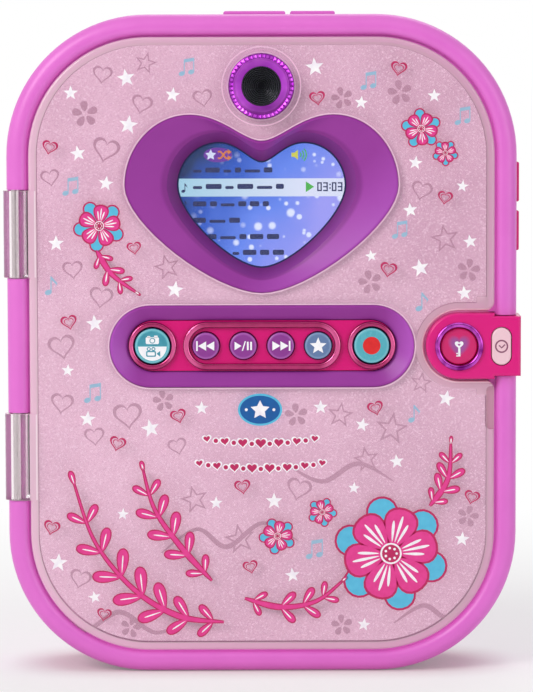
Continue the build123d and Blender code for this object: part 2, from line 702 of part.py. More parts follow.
def rear_shell():
    """The back half of the casing, with the battery opening, screw tubes and speaker grille."""
    shell = prism(casing_outline(0), PART_LINE, BACK)
    back_face = shell.faces().filter_by(Axis.Y).sort_by(Axis.Y)[-1]
    shell = fillet(back_face.edges(), BACK_EDGE_R)
    hollow = prism(casing_outline(WALL), PART_LINE, INNER_BACK)
    hollow_back = hollow.faces().filter_by(Axis.Y).sort_by(Axis.Y)[-1]
    shell -= fillet(hollow_back.edges(), BACK_EDGE_R - WALL)
    for x, z in SIDE_SCREWS + END_SCREWS:
        shell += prism(disc(x, z, POST_R), PART_LINE, INNER_BACK + BACK_WALL / 2)
    for x, z in SIDE_SCREWS + END_SCREWS:
        shell -= prism(disc(x, z, SCREW_R + FIT), PART_LINE, BACK)
        shell -= prism(disc(x, z, SCREW_HEAD_R + FIT), INNER_BACK - SCREW_HEAD_HEIGHT, BACK)
    shell += prism(disc(0, DOOR_SCREW_Z, POST_R), INNER_BACK - DOOR_POST_HEIGHT, INNER_BACK + BACK_WALL / 2)
    shell -= prism(rounded(0, BAY_Z, BAY_WIDTH, BAY_HEIGHT, BAY_CORNER_R), INNER_BACK, BACK)
    shell -= prism(rounded(0, DOOR_Z, DOOR_WIDTH, DOOR_HEIGHT, DOOR_CORNER_R), BAY_BACK, BACK)
    shell -= prism(disc(0, DOOR_SCREW_Z, SCREW_R + SCREW_FIT), INNER_BACK - DOOR_POST_HEIGHT, BACK)
    return shell - speaker_grille()


def speaker_grille():
    """Upright slots whose lengths fill a circle in front of the speaker."""
    slots = None
    for step in range(GRILLE_SLOTS):
        x = (step - (GRILLE_SLOTS - 1) / 2) * GRILLE_PITCH
        length = 2 * GRILLE_FILL * (SPEAKER_R**2 - x**2) ** 0.5
        slot = prism(pill(SPEAKER_X + x, SPEAKER_Z, GRILLE_SLOT_WIDTH, length), INNER_BACK, BACK)
        slots = slot if slots is None else slots + slot
    return slots


def screw(x, z, front, head_front, head_back):
    """A flat-headed screw along Y, with a cross cut in its head."""
    body = prism(disc(x, z, SCREW_R), front, head_front)
    head = prism(disc(x, z, SCREW_HEAD_R), head_front, head_back)
    bar = Rectangle(SCREW_CROSS_LENGTH, SCREW_CROSS_WIDTH)
    cross = Pos(x, z) * (bar + Rot(0, 0, 90) * bar)
    return body + head - prism(cross, head_back - SCREW_CROSS_DEPTH, head_back)


def case_screws():
    head_front = INNER_BACK - SCREW_HEAD_HEIGHT
    return Compound(
        [screw(x, z, SCREW_TIP, head_front, INNER_BACK) for x, z in SIDE_SCREWS + END_SCREWS]
    )


# ---------------------------------------------------------------- lid
def lid_cover():
    """The clear plate with its cut-outs, a collar round the camera hole and two hinge knuckles."""
    plate = prism(lid_outline(0), LID_FRONT, LID_BACK)
    plate = fillet(front_edges(plate), LID_EDGE_R)
    collar = disc(0, LENS_Z, LENS_RING_R + CUTOUT_GAP + LENS_COLLAR_WIDTH)
    plate += prism(collar, LID_FRONT - LENS_COLLAR_PROUD, LID_FRONT)
    for cutout in lid_cutouts(0):
        plate -= prism(cutout, LID_FRONT - LENS_COLLAR_PROUD, LID_BACK)
    plate -= prism(finger_scoop(0), LID_FRONT, LID_FRONT + SCOOP_DEPTH)
    for z in KNUCKLE_Z:
        low, high = z - KNUCKLE_LENGTH / 2, z + KNUCKLE_LENGTH / 2
        plate += block(HINGE_X, -HALF_WIDTH + LID_INSET + ARM_REACH, ARM_FRONT, LID_BACK, low, high)
        plate += upright_rod(HINGE_X, HINGE_Y, z, BARREL_R, KNUCKLE_LENGTH)
        plate -= upright_rod(HINGE_X, HINGE_Y, z, PIN_R + PIN_FIT, KNUCKLE_LENGTH)
    return plate


def finger_scoop(grow):
    """The outline of a scoop in the lid's right edge, below the lock, for a fingertip."""
    width = SCOOP_WIDTH + grow
    edge = HALF_WIDTH - LID_INSET
    return rounded(edge, CONTROLS_Z - SCOOP_DROP, 2 * width, SCOOP_LENGTH + 2 * grow, width / 2)


def lid_glitter_panel():
    """The opaque glitter sheet bonded behind the clear plate, short of its edges."""
    sheet = prism(lid_outline(CLEAR_BORDER), GLITTER_FRONT, GLITTER_BACK)
    for cutout in lid_cutouts(CLEAR_CUTOUT_BORDER):
        sheet -= prism(cutout, GLITTER_FRONT, GLITTER_BACK)
    return sheet - prism(finger_scoop(FIT), GLITTER_FRONT, GLITTER_BACK)


def lid_strike():
    """The hooked tab for the lock bolt, bonded by its foot behind the glitter sheet."""
    half, rise = STRIKE_FOOT_WIDTH / 2, STRIKE_FOOT_HEIGHT / 2
    foot_back = GLITTER_BACK + STRIKE_FOOT_T
    foot = block(STRIKE_X - half, STRIKE_X + half, GLITTER_BACK, foot_back, STRIKE_Z - rise, STRIKE_Z + rise)
    tab = block(
        STRIKE_X - STRIKE_THICKNESS / 2, STRIKE_X + STRIKE_THICKNESS / 2, GLITTER_BACK, STRIKE_BACK,
        STRIKE_Z - STRIKE_WIDTH / 2, STRIKE_Z + STRIKE_WIDTH / 2,
    )
    room = BOLT_SIDE / 2 + STRIKE_EYE_GAP
    eye = block(
        STRIKE_X - STRIKE_THICKNESS, STRIKE_X + STRIKE_THICKNESS, BOLT_Y - room, BOLT_Y + room,
        STRIKE_Z - room, STRIKE_Z + room,
    )
    return foot + tab - eye


def hinge_pin(z):
    return upright_rod(HINGE_X, HINGE_Y, z, PIN_R, POCKET_LENGTH + 2 * PIN_GRIP)


# ---------------------------------------------------------------- console
def console_panel():
    """The plate under the lid, with openings for everything that is reached through it."""
    panel = prism(casing_outline(PANEL_INSET), PANEL_FRONT, PANEL_BACK)
    panel -= prism(HEART_STEP.grown(COLLAR_WALL + PASS_GAP).face(), PANEL_FRONT, PANEL_BACK)
    panel -= prism(pill(0, CONTROLS_Z, KEYPLATE_WIDTH, KEYPLATE_HEIGHT), PANEL_FRONT, PANEL_BACK)
    panel -= prism(disc(0, LENS_Z, LENS_R + PASS_GAP), PANEL_FRONT, PANEL_BACK)
    panel -= prism(disc(KEY_X, CONTROLS_Z, KEY_BUTTON_R + LOCK_FLANGE + FIT), PANEL_FRONT, PANEL_BACK)
    grow = 2 * (LOCK_FLANGE + FIT)
    clock_hole = pill(CLOCK_X, CONTROLS_Z, CLOCK_WIDTH + grow, CLOCK_HEIGHT + grow)
    panel -= prism(clock_hole, PANEL_FRONT, PANEL_BACK)
    panel -= prism(disc(MIC_X, MIC_Z, SOUND_HOLE_R), PANEL_FRONT, PANEL_BACK)
    panel -= prism(tray_outline(0), PANEL_FRONT, PANEL_BACK)
    slot_x, slot_z = STRIKE_THICKNESS + 2 * STRIKE_SLOT_GAP, STRIKE_WIDTH + 2 * STRIKE_SLOT_GAP
    panel -= prism(Pos(STRIKE_X, STRIKE_Z) * Rectangle(slot_x, slot_z), PANEL_FRONT, PANEL_BACK)
    for z in KNUCKLE_Z:
        half = BLOCK_LENGTH / 2 + FIT
        panel -= block(-HALF_WIDTH, BLOCK_EDGE_X + FIT, PANEL_FRONT, PANEL_BACK, z - half, z + half)
    for x, z in PCB_POSTS:
        panel += prism(disc(x, z, PCB_POST_R), PANEL_BACK, PCB_FRONT)
    for side in (-1, 1):
        x = side * (BUTTON_BOARD_WIDTH / 2 - BUTTON_POST_R)
        panel += prism(disc(x, CONTROLS_Z, BUTTON_POST_R), PANEL_BACK, MEMBRANE_BACK)
    return panel + bolt_guide()


def bolt_guide():
    """The bridge on the panel's back that the bolt slides through, close to its tip."""
    room = BOLT_SIDE / 2 + BOLT_FIT
    wall = room + BOLT_GUIDE_WALL
    x0, x1 = BOLT_TIP - 2 * BOLT_GUIDE_LENGTH, BOLT_TIP - BOLT_GUIDE_LENGTH
    bridge = block(x0, x1, PANEL_BACK, BOLT_Y + wall, STRIKE_Z - wall, STRIKE_Z + wall)
    return bridge - block(x0, x1, BOLT_Y - room, BOLT_Y + room, STRIKE_Z - room, STRIKE_Z + room)


def heart_bezel():
    """The heart-shaped funnel that leads down to the screen."""
    body = prism(HEART_OUTER.face(), BEZEL_FRONT, PANEL_FRONT)
    body += prism(HEART_STEP.grown(COLLAR_WALL).face(), PANEL_FRONT, COLLAR_BACK)
    body -= taper(HEART_OUTER.grown(-BEZEL_LIP).face(), BEZEL_FRONT, HEART_STEP.face(), SLOPE_END)
    return body - taper(HEART_STEP.face(), SLOPE_END, HEART_SCREEN.face(), COLLAR_BACK)


def screen_window():
    return prism(HEART_SCREEN.grown(WINDOW_MARGIN).face(), COLLAR_BACK, WINDOW_BACK)


def lcd_module():
    return prism(Pos(0, LCD_Z) * Rectangle(LCD_WIDTH, LCD_HEIGHT), LCD_FRONT, LCD_BACK)


def button_bezel():
    """The pill-shaped funnel round the button row."""
    body = prism(pill(0, CONTROLS_Z, CONTROL_WIDTH, CONTROL_HEIGHT), BEZEL_FRONT, PANEL_FRONT)
    lip = 2 * BEZEL_LIP
    body -= taper(
        pill(0, CONTROLS_Z, CONTROL_WIDTH - lip, CONTROL_HEIGHT - lip), BEZEL_FRONT,
        pill(0, CONTROLS_Z, KEYPLATE_WIDTH, KEYPLATE_HEIGHT), KEYPLATE_FRONT,
    )
    return body - prism(pill(0, CONTROLS_Z, KEYPLATE_WIDTH, KEYPLATE_HEIGHT), KEYPLATE_FRONT, PANEL_FRONT)


BUTTONS = {
    "photo_video_button": (-END_BUTTON_X, END_BUTTON_R),
    "previous_button": (-1.5 * SMALL_BUTTON_PITCH, SMALL_BUTTON_R),
    "play_pause_button": (-0.5 * SMALL_BUTTON_PITCH, SMALL_BUTTON_R),
    "next_button": (0.5 * SMALL_BUTTON_PITCH, SMALL_BUTTON_R),
    "favourite_button": (1.5 * SMALL_BUTTON_PITCH, SMALL_BUTTON_R),
    "record_button": (END_BUTTON_X, END_BUTTON_R),
}


def key_plate():
    """The plate that the buttons stand in, held from behind by its flange."""
    gap = 2 * FIT
    plate = prism(
        pill(0, CONTROLS_Z, KEYPLATE_WIDTH - gap, KEYPLATE_HEIGHT - gap), KEYPLATE_FRONT, PANEL_BACK
    )
    grow = 2 * KEYPLATE_FLANGE
    plate += prism(
        pill(0, CONTROLS_Z, KEYPLATE_WIDTH + grow, KEYPLATE_HEIGHT + grow), PANEL_BACK, KEYPLATE_BACK
    )
    for x, radius in BUTTONS.values():
        plate -= prism(disc(x, CONTROLS_Z, radius + FIT), KEYPLATE_FRONT, KEYPLATE_BACK)
    return plate


def button(name):
    """One round button: a cap through the plate and a flange that keeps it in."""
    x, radius = BUTTONS[name]
    cap = prism(disc(x, CONTROLS_Z, radius), KEYPLATE_FRONT - BUTTON_PROUD, FLANGE_FRONT)
    cap = fillet(front_edges(cap), BUTTON_EDGE_R)
    return cap + prism(disc(x, CONTROLS_Z, radius + BUTTON_FLANGE), FLANGE_FRONT, FLANGE_BACK)


def trim_ring(outer, inner):
    """A bright ring standing on the key plate, rounded along both of its front edges."""
    ring = prism(outer - inner, KEYPLATE_FRONT - RING_PROUD, KEYPLATE_FRONT)
    face = ring.faces().filter_by(Axis.Y).sort_by(Axis.Y)[0]
    return fillet(face.edges(), (RING_WIDTH - RING_FLAT) / 2)


def end_button_ring(side):
    x = side * END_BUTTON_X
    return trim_ring(disc(x, CONTROLS_Z, END_RING_R), disc(x, CONTROLS_Z, END_RING_R - RING_WIDTH))


def playback_ring():
    inner = 2 * TRACK_BAND
    return trim_ring(
        pill(0, CONTROLS_Z, TRACK_WIDTH, TRACK_HEIGHT),
        pill(0, CONTROLS_Z, TRACK_WIDTH - inner, TRACK_HEIGHT - inner),
    )


def keypad_membrane():
    outline = pill(0, CONTROLS_Z, KEYPLATE_WIDTH + 2 * FIT, KEYPLATE_HEIGHT)
    return prism(outline, MEMBRANE_FRONT, MEMBRANE_BACK)


def button_board():
    outline = rounded(0, CONTROLS_Z, BUTTON_BOARD_WIDTH, BUTTON_BOARD_HEIGHT, BOARD_CORNER_R)
    return prism(outline, MEMBRANE_BACK, BUTTON_BOARD_BACK)


# ---------------------------------------------------------------- camera
def lens_ring():
    """The bright ring round the camera, with a bevel of cut facets along its outer edge."""
    outer = disc(0, LENS_Z, LENS_RING_R)
    bevel_end = LENS_RING_FRONT + LENS_BEVEL_DEPTH
    ring = taper(disc(0, LENS_Z, LENS_FACE_R), LENS_RING_FRONT, outer, bevel_end)
    ring += prism(outer, bevel_end, PANEL_FRONT)
    mouth = disc(0, LENS_Z, LENS_FACE_R - LENS_LIP)
    ring -= taper(mouth, LENS_RING_FRONT, disc(0, LENS_Z, LENS_R), LENS_GLASS_FRONT)
    ring -= prism(disc(0, LENS_Z, LENS_R), LENS_GLASS_FRONT, PANEL_FRONT)
    nick = Rot(0, 45, 0) * Box(LENS_FACET_SIZE, 2 * LENS_BEVEL_DEPTH, LENS_FACET_SIZE)
    for step in range(LENS_FACETS):
        turn = Pos(0, 0, LENS_Z) * Rot(0, step * 360 / LENS_FACETS, 0)
        ring -= turn * Pos(LENS_RING_R, LENS_RING_FRONT, 0) * nick
    return ring


def lens_glass():
    return prism(disc(0, LENS_Z, LENS_R - LENS_FIT), LENS_GLASS_FRONT, LENS_GLASS_BACK)


def lens_barrel():
    """The dark stepped tube behind the glass, wide at the front and narrow at the sensor."""
    barrel = prism(disc(0, LENS_Z, LENS_R - LENS_FIT), LENS_BARREL_FRONT, LENS_BARREL_BACK)
    step_depth = (LENS_BARREL_LENGTH - LENS_BARREL_END) / LENS_BARREL_STEPS
    for step in range(LENS_BARREL_STEPS):
        radius = LENS_R - LENS_BARREL_WALL - step * LENS_BARREL_STEP
        front = LENS_BARREL_FRONT + step * step_depth
        barrel -= prism(disc(0, LENS_Z, radius), front, front + step_depth)
    return barrel - prism(disc(0, LENS_Z, APERTURE_R), LENS_BARREL_FRONT, LENS_BARREL_BACK)


def camera_module():
    half = CAMERA_SIZE / 2
    return block(
        -half, half, LENS_BARREL_BACK, LENS_BARREL_BACK + CAMERA_DEPTH, LENS_Z - half, LENS_Z + half
    )


def microphone():
    return prism(disc(MIC_X, MIC_Z, MIC_R), PANEL_BACK, PANEL_BACK + MIC_LENGTH)


# ---------------------------------------------------------------- lock
def lock_housing():
    """The cover across the right rim: hollow, with tubes that guide its two buttons."""
    body = prism(lock_outline(0), LOCK_FRONT, PANEL_FRONT)
    body = fillet(front_edges(body), LOCK_EDGE_R)
    side = strip(HALF_WIDTH, LOCK_RIGHT, LOCK_WRAP_HEIGHT)
    body += prism(side, PANEL_FRONT, PANEL_FRONT + LOCK_WRAP_DEPTH)
    hollow = lock_outline(-LOCK_WALL) - disc(KEY_X, CONTROLS_Z, KEY_BUTTON_R + FIT + LOCK_GUIDE)
    guide = 2 * (FIT + LOCK_GUIDE)
    hollow -= pill(CLOCK_X, CONTROLS_Z, CLOCK_WIDTH + guide, CLOCK_HEIGHT + guide)
    body -= prism(hollow, LOCK_FRONT + LOCK_WALL, PANEL_FRONT)
    body -= prism(disc(KEY_X, CONTROLS_Z, KEY_BUTTON_R + FIT), LOCK_FRONT, PANEL_FRONT)
    body -= prism(
        pill(CLOCK_X, CONTROLS_Z, CLOCK_WIDTH + 2 * FIT, CLOCK_HEIGHT + 2 * FIT), LOCK_FRONT, PANEL_FRONT
    )
    flange_room = LOCK_FLANGE_FRONT - FIT
    body -= prism(disc(KEY_X, CONTROLS_Z, KEY_BUTTON_R + LOCK_FLANGE + FIT), flange_room, PANEL_FRONT)
    grow = 2 * (LOCK_FLANGE + FIT)
    return body - prism(
        pill(CLOCK_X, CONTROLS_Z, CLOCK_WIDTH + grow, CLOCK_HEIGHT + grow), flange_room, PANEL_FRONT
    )


def key_button_ring():
    inner = KEY_BUTTON_R + FIT
    outline = disc(KEY_X, CONTROLS_Z, KEY_RING_R) - disc(KEY_X, CONTROLS_Z, inner)
    ring = prism(outline, LOCK_FRONT - KEY_RING_PROUD, LOCK_FRONT)
    face = ring.faces().filter_by(Axis.Y).sort_by(Axis.Y)[0]
    return fillet(face.edges(), (KEY_RING_R - inner - RING_FLAT) / 2)


def key_button():
    cap = prism(disc(KEY_X, CONTROLS_Z, KEY_BUTTON_R), LOCK_FRONT + KEY_BUTTON_SINK, LOCK_FLANGE_FRONT)
    cap = fillet(front_edges(cap), BUTTON_EDGE_R)
    return cap + prism(disc(KEY_X, CONTROLS_Z, KEY_BUTTON_R + LOCK_FLANGE), LOCK_FLANGE_FRONT, PANEL_FRONT)


def clock_button():
    outline = pill(CLOCK_X, CONTROLS_Z, CLOCK_WIDTH, CLOCK_HEIGHT)
    cap = prism(outline, LOCK_FRONT - CLOCK_PROUD, LOCK_FLANGE_FRONT)
    cap = fillet(front_edges(cap), BUTTON_EDGE_R)
    grow = 2 * LOCK_FLANGE
    return cap + prism(
        pill(CLOCK_X, CONTROLS_Z, CLOCK_WIDTH + grow, CLOCK_HEIGHT + grow), LOCK_FLANGE_FRONT, PANEL_FRONT
    )


def lock_board():
    """The switch board under the lock's buttons, with one switch for each."""
    outline = strip(KEY_X - LOCK_BOARD_MARGIN, HALF_WIDTH - WALL - FIT, LOCK_BOARD_HEIGHT)
    board = prism(outline, PANEL_BACK, PANEL_BACK + BOARD_T)
    for x in (KEY_X, CLOCK_X):
        switch = Pos(x, CONTROLS_Z) * Rectangle(SWITCH_SIZE, SWITCH_SIZE)
        board += prism(switch, PANEL_FRONT + BUTTON_TRAVEL + FIT, PANEL_BACK)
    return board


def lock_solenoid():
    """The coil that drives the bolt, fixed to the back of the console panel."""
    left = SOLENOID_RIGHT - SOLENOID_LENGTH
    half = SOLENOID_HEIGHT / 2
    coil = block(
        left, SOLENOID_RIGHT, PANEL_BACK, PANEL_BACK + SOLENOID_DEPTH, STRIKE_Z - half, STRIKE_Z + half
    )
    room = BOLT_SIDE / 2 + BOLT_FIT
    return coil - block(
        left, SOLENOID_RIGHT, BOLT_Y - room, BOLT_Y + room, STRIKE_Z - room, STRIKE_Z + room
    )


def lock_bolt():
    half = BOLT_SIDE / 2
    bolt = block(
        BOLT_TIP - BOLT_LENGTH, BOLT_TIP, BOLT_Y - half, BOLT_Y + half, STRIKE_Z - half, STRIKE_Z + half
    )
    tip = bolt.faces().sort_by(Axis.X)[-1]
    return chamfer(tip.edges(), BOLT_POINT)


# ---------------------------------------------------------------- tray and notebook
def tray_outline(grow):
    return rounded(
        0, TRAY_Z, TRAY_WIDTH + 2 * grow, TRAY_HEIGHT + 2 * grow, TRAY_CORNER_R + grow
    )


def storage_tray():
    """The box for the notebook, hung by its flange behind the console panel."""
    tray = prism(tray_outline(TRAY_WALL), PANEL_BACK, TRAY_FLOOR + TRAY_WALL)
    tray += prism(tray_outline(TRAY_FLANGE + TRAY_WALL), PANEL_BACK, PANEL_BACK + TRAY_FLANGE_T)
    return tray - prism(tray_outline(0), PANEL_BACK, TRAY_FLOOR)


def notebook_cover():
    """A card cover wrapped round the pages, with its spine at the left."""
    outline = rounded(0, NOTEBOOK_Z, NOTEBOOK_WIDTH, NOTEBOOK_HEIGHT, NOTEBOOK_CORNER_R)
    wrap = prism(outline, NOTEBOOK_FRONT, TRAY_FLOOR)
    edge = NOTEBOOK_WIDTH / 2
    room = block(
        NOTEBOOK_COVER_T - edge, edge + PAST,
        NOTEBOOK_FRONT + NOTEBOOK_COVER_T, TRAY_FLOOR - NOTEBOOK_COVER_T,
        NOTEBOOK_Z - NOTEBOOK_HEIGHT, NOTEBOOK_Z + NOTEBOOK_HEIGHT,
    )
    return wrap - room


def notebook_pages():
    left, right = NOTEBOOK_COVER_T - NOTEBOOK_WIDTH / 2, NOTEBOOK_WIDTH / 2 - PAGE_INSET
    height = NOTEBOOK_HEIGHT - 2 * PAGE_INSET
    corner = NOTEBOOK_CORNER_R - PAGE_INSET
    outline = rounded((left + right) / 2, NOTEBOOK_Z, right - left, height, corner)
    return prism(outline, NOTEBOOK_FRONT + NOTEBOOK_COVER_T, TRAY_FLOOR - NOTEBOOK_COVER_T)


# ---------------------------------------------------------------- battery bay
def battery_tub():
    """The bay's inner walls and floor, standing on the rear shell's inside face."""
    walls = 2 * BAY_WALL
    outer = rounded(0, BAY_Z, BAY_WIDTH + walls, BAY_HEIGHT + walls, BAY_CORNER_R + BAY_WALL)
    inner = rounded(0, BAY_Z, BAY_WIDTH, BAY_HEIGHT, BAY_CORNER_R)
    tub = prism(outer, BAY_FLOOR_FRONT, INNER_BACK)
    return tub - prism(inner, BAY_FLOOR_FRONT + BAY_FLOOR, INNER_BACK)


def cell_places():
    """Each cell's height, and the side that its nub faces."""
    for row in range(CELL_COUNT):
        yield BAY_RISE + CELL_PITCH * (row + 0.5), 1 if row % 2 else -1


def batteries():
    cells = []
    for z, side in cell_places():
        nub_end = side * (BAY_WIDTH / 2 - CONTACT_T)
        shoulder = nub_end - side * CELL_NUB_LENGTH
        body = cross_rod(shoulder - side * CELL_LENGTH / 2, CELL_Y, z, CELL_R, CELL_LENGTH)
        nub = cross_rod((shoulder + nub_end) / 2, CELL_Y, z, CELL_NUB_R, CELL_NUB_LENGTH)
        cells.append(body + nub)
    return Compound(cells)


def battery_contacts():
    """A flat plate at each nub, and a plate with a stepped spring cone at each flat end."""
    contacts = []
    for z, side in cell_places():
        for end in (-1, 1):
            wall = end * BAY_WIDTH / 2
            inner = wall - end * CONTACT_T
            half = CONTACT_SIZE / 2
            plate = block(
                min(wall, inner), max(wall, inner), CELL_Y - half, CELL_Y + half, z - half, z + half
            )
            if end != side:
                length = SPRING_LENGTH / len(SPRING_STEPS)
                for step, radius in enumerate(SPRING_STEPS):
                    plate += cross_rod(inner - end * (step + 0.5) * length, CELL_Y, z, radius, length)
            contacts.append(plate)
    return Compound(contacts)


def battery_door():
    """The door over the batteries, flush with the back and held by one screw at its top."""
    gap = 2 * DOOR_GAP
    outline = rounded(0, DOOR_Z, DOOR_WIDTH - gap, DOOR_HEIGHT - gap, DOOR_CORNER_R - DOOR_GAP)
    door = prism(outline, BAY_BACK, BACK)
    for step in range(GRIP_COUNT):
        grip = pill(0, BAY_RISE + GRIP_RISE + step * GRIP_PITCH, GRIP_LENGTH, GRIP_WIDTH)
        door -= prism(grip, BACK - GRIP_DEPTH, BACK)
    door -= prism(disc(0, DOOR_SCREW_Z, SCREW_R + FIT), BAY_BACK, BACK)
    head_room = SCREW_HEAD_HEIGHT + DOOR_SCREW_SINK
    return door - prism(disc(0, DOOR_SCREW_Z, SCREW_HEAD_R + FIT), BACK - head_room, BACK)


def battery_door_screw():
    head_back = BACK - DOOR_SCREW_SINK
    return screw(0, DOOR_SCREW_Z, BAY_BACK - DOOR_SCREW_LENGTH, head_back - SCREW_HEAD_HEIGHT, head_back)


# ---------------------------------------------------------------- edge buttons and ports
def volume_button(z):
    """A button through the right wall, kept in by a flange behind the wall."""
    half, width = VOLUME_LENGTH / 2, VOLUME_WIDTH / 2
    cap = block(
        VOLUME_FLANGE_X, HALF_WIDTH + VOLUME_PROUD, EDGE_ROW_Y - width, EDGE_ROW_Y + width,
        z - half, z + half,
    )
    cap = fillet(cap.faces().sort_by(Axis.X)[-1].edges(), BUTTON_EDGE_R)
    reach, length = width + EDGE_FLANGE, half + EDGE_FLANGE
    return cap + block(
        VOLUME_FLANGE_X - EDGE_FLANGE_T, VOLUME_FLANGE_X, EDGE_ROW_Y - reach, EDGE_ROW_Y + reach,
        z - length, z + length,
    )


def volume_board():
    """The small board behind the volume buttons, with a switch under each."""
    face_x = VOLUME_BOARD_X + BOARD_T
    y0, y1 = EDGE_ROW_Y - VOLUME_WIDTH, EDGE_ROW_Y + VOLUME_WIDTH
    board = block(VOLUME_BOARD_X, face_x, y0, y1, *VOLUME_BOARD_Z)
    for z in VOLUME_Z:
        board += Pos(face_x + BOARD_T / 2, EDGE_ROW_Y, z) * Box(BOARD_T, SWITCH_SIZE, SWITCH_SIZE)
    return board


def power_button():
    top = BODY_HEIGHT + TOP_PROUD
    under = POWER_FLANGE_Z
    half, width = POWER_LENGTH / 2, POWER_WIDTH / 2
    cap = block(POWER_X - half, POWER_X + half, EDGE_ROW_Y - width, EDGE_ROW_Y + width, under, top)
    cap = fillet(cap.faces().sort_by(Axis.Z)[-1].edges(), BUTTON_EDGE_R)
    grow = EDGE_FLANGE
    return cap + block(
        POWER_X - half - grow, POWER_X + half + grow, EDGE_ROW_Y - width - grow, EDGE_ROW_Y + width + grow,
        under - EDGE_FLANGE_T, under,
    )


def power_switch():
    """The switch on the main board's top edge, just below the power button."""
    top = POWER_FLANGE_Z - EDGE_FLANGE_T - BUTTON_TRAVEL - FIT
    half = SWITCH_SIZE / 2
    foot = PCB_TOP - SWITCH_SIZE
    return block(POWER_X - half, POWER_X + half, PCB_BACK, PCB_BACK + SWITCH_SIZE, foot, top)


def port_cover():
    """The flap over the two sockets, which turns on the round bead along its rear edge."""
    half, width = PORT_COVER_LENGTH / 2, PORT_COVER_WIDTH / 2
    flap = block(
        PORT_X - half, PORT_X + half, EDGE_ROW_Y - width, PORT_HINGE_Y,
        BODY_HEIGHT - PORT_COVER_SINK, BODY_HEIGHT + TOP_PROUD,
    )
    top_edges = flap.faces().sort_by(Axis.Z)[-1].edges().sort_by(Axis.Y)[:-1]
    bead = cross_rod(PORT_X, PORT_HINGE_Y, PORT_HINGE_Z, PORT_BEAD_R, PORT_COVER_LENGTH - 2 * PORT_EDGE_R)
    return fillet(top_edges, PORT_EDGE_R) + bead


def audio_jack():
    top = BODY_HEIGHT - WALL
    x = PORT_X - PORT_SPREAD
    half = JACK_BODY / 2
    body = block(x - half, x + half, PCB_BACK, PCB_BACK + JACK_BODY, top - PORT_LENGTH, top)
    body += upright_rod(x, EDGE_ROW_Y, top + JACK_NOSE / 2, JACK_R, JACK_NOSE)
    return body - upright_rod(x, EDGE_ROW_Y, top + JACK_NOSE - JACK_DEPTH / 2, JACK_BORE_R, JACK_DEPTH)


def usb_socket():
    top = BODY_HEIGHT - WALL + USB_PROUD
    x = PORT_X + PORT_SPREAD
    half, back = USB_WIDTH / 2, PCB_BACK + USB_HEIGHT
    body = block(x - half, x + half, PCB_BACK, back, top - PORT_LENGTH, top)
    skin = USB_SKIN
    return body - block(
        x - half + skin, x + half - skin, PCB_BACK + skin, back - skin, top - USB_DEPTH, top
    )


# ---------------------------------------------------------------- boards and sound
def main_board():
    """The main circuit board with its processor, memory and a few tall parts on the back."""
    outline = rounded(0, (PCB_BOTTOM + PCB_TOP) / 2, PCB_WIDTH, PCB_TOP - PCB_BOTTOM, BOARD_CORNER_R)
    board = prism(outline, PCB_FRONT, PCB_BACK)
    for x, rise, width, height, thickness in MAIN_CHIPS:
        chip = Pos(x, PCB_BOTTOM + rise) * Rectangle(width, height)
        board += prism(chip, PCB_BACK, PCB_BACK + thickness)
    return board


def speaker():
    """A round speaker: a magnet at the front, a cone basket and a rim towards the back."""
    rim_back = INNER_BACK - GASKET_T
    rim_front = rim_back - SPEAKER_RIM_T
    basket_front = rim_front - BASKET_DEPTH
    rim, magnet = disc(SPEAKER_X, SPEAKER_Z, SPEAKER_R), disc(SPEAKER_X, SPEAKER_Z, MAGNET_R)
    narrow, wide = disc(SPEAKER_X, SPEAKER_Z, BASKET_NARROW_R), disc(SPEAKER_X, SPEAKER_Z, BASKET_WIDE_R)
    body = prism(rim, rim_front, rim_back) + taper(narrow, basket_front, wide, rim_front)
    return body + prism(magnet, basket_front - MAGNET_DEPTH, basket_front)


def speaker_gasket():
    ring = disc(SPEAKER_X, SPEAKER_Z, SPEAKER_R) - disc(SPEAKER_X, SPEAKER_Z, SPEAKER_R - GASKET_WIDTH)
    return prism(ring, INNER_BACK - GASKET_T, INNER_BACK)


# ---------------------------------------------------------------- every node
NODES = {
    "front_frame": front_frame,
    "rear_shell": rear_shell,
    "case_screws": case_screws,
    "lid_cover": lid_cover,
    "lid_glitter_panel": lid_glitter_panel,
    "lid_strike": lid_strike,
    "lower_hinge_pin": lambda: hinge_pin(KNUCKLE_Z[0]),
    "upper_hinge_pin": lambda: hinge_pin(KNUCKLE_Z[1]),
    "console_panel": console_panel,
    "heart_bezel": heart_bezel,
    "screen_window": screen_window,
    "lcd_module": lcd_module,
    "button_bezel": button_bezel,
    "key_plate": key_plate,
    "photo_button_ring": lambda: end_button_ring(-1),
    "playback_ring": playback_ring,
    "record_button_ring": lambda: end_button_ring(1),
    "keypad_membrane": keypad_membrane,
    "button_board": button_board,
    "lens_ring": lens_ring,
    "lens_glass": lens_glass,
    "lens_barrel": lens_barrel,
    "camera_module": camera_module,
    "microphone": microphone,
    "lock_housing": lock_housing,
    "key_button_ring": key_button_ring,
    "key_button": key_button,
    "clock_button": clock_button,
    "lock_board": lock_board,
    "lock_solenoid": lock_solenoid,
    "lock_bolt": lock_bolt,
    "storage_tray": storage_tray,
    "notebook_cover": notebook_cover,
    "notebook_pages": notebook_pages,
    "battery_tub": battery_tub,
    "batteries": batteries,
    "battery_contacts": battery_contacts,
    "battery_door": battery_door,
    "battery_door_screw": battery_door_screw,
    "volume_down_button": lambda: volume_button(VOLUME_Z[0]),
    "volume_up_button": lambda: volume_button(VOLUME_Z[1]),
    "volume_board": volume_board,
    "power_button": power_button,
    "power_switch": power_switch,
    "port_cover": port_cover,
    "audio_jack": audio_jack,
    "usb_socket": usb_socket,
    "main_board": main_board,
    "speaker": speaker,
    "speaker_gasket": speaker_gasket,
}
for button_name in BUTTONS:
    NODES[button_name] = lambda name=button_name: button(name)

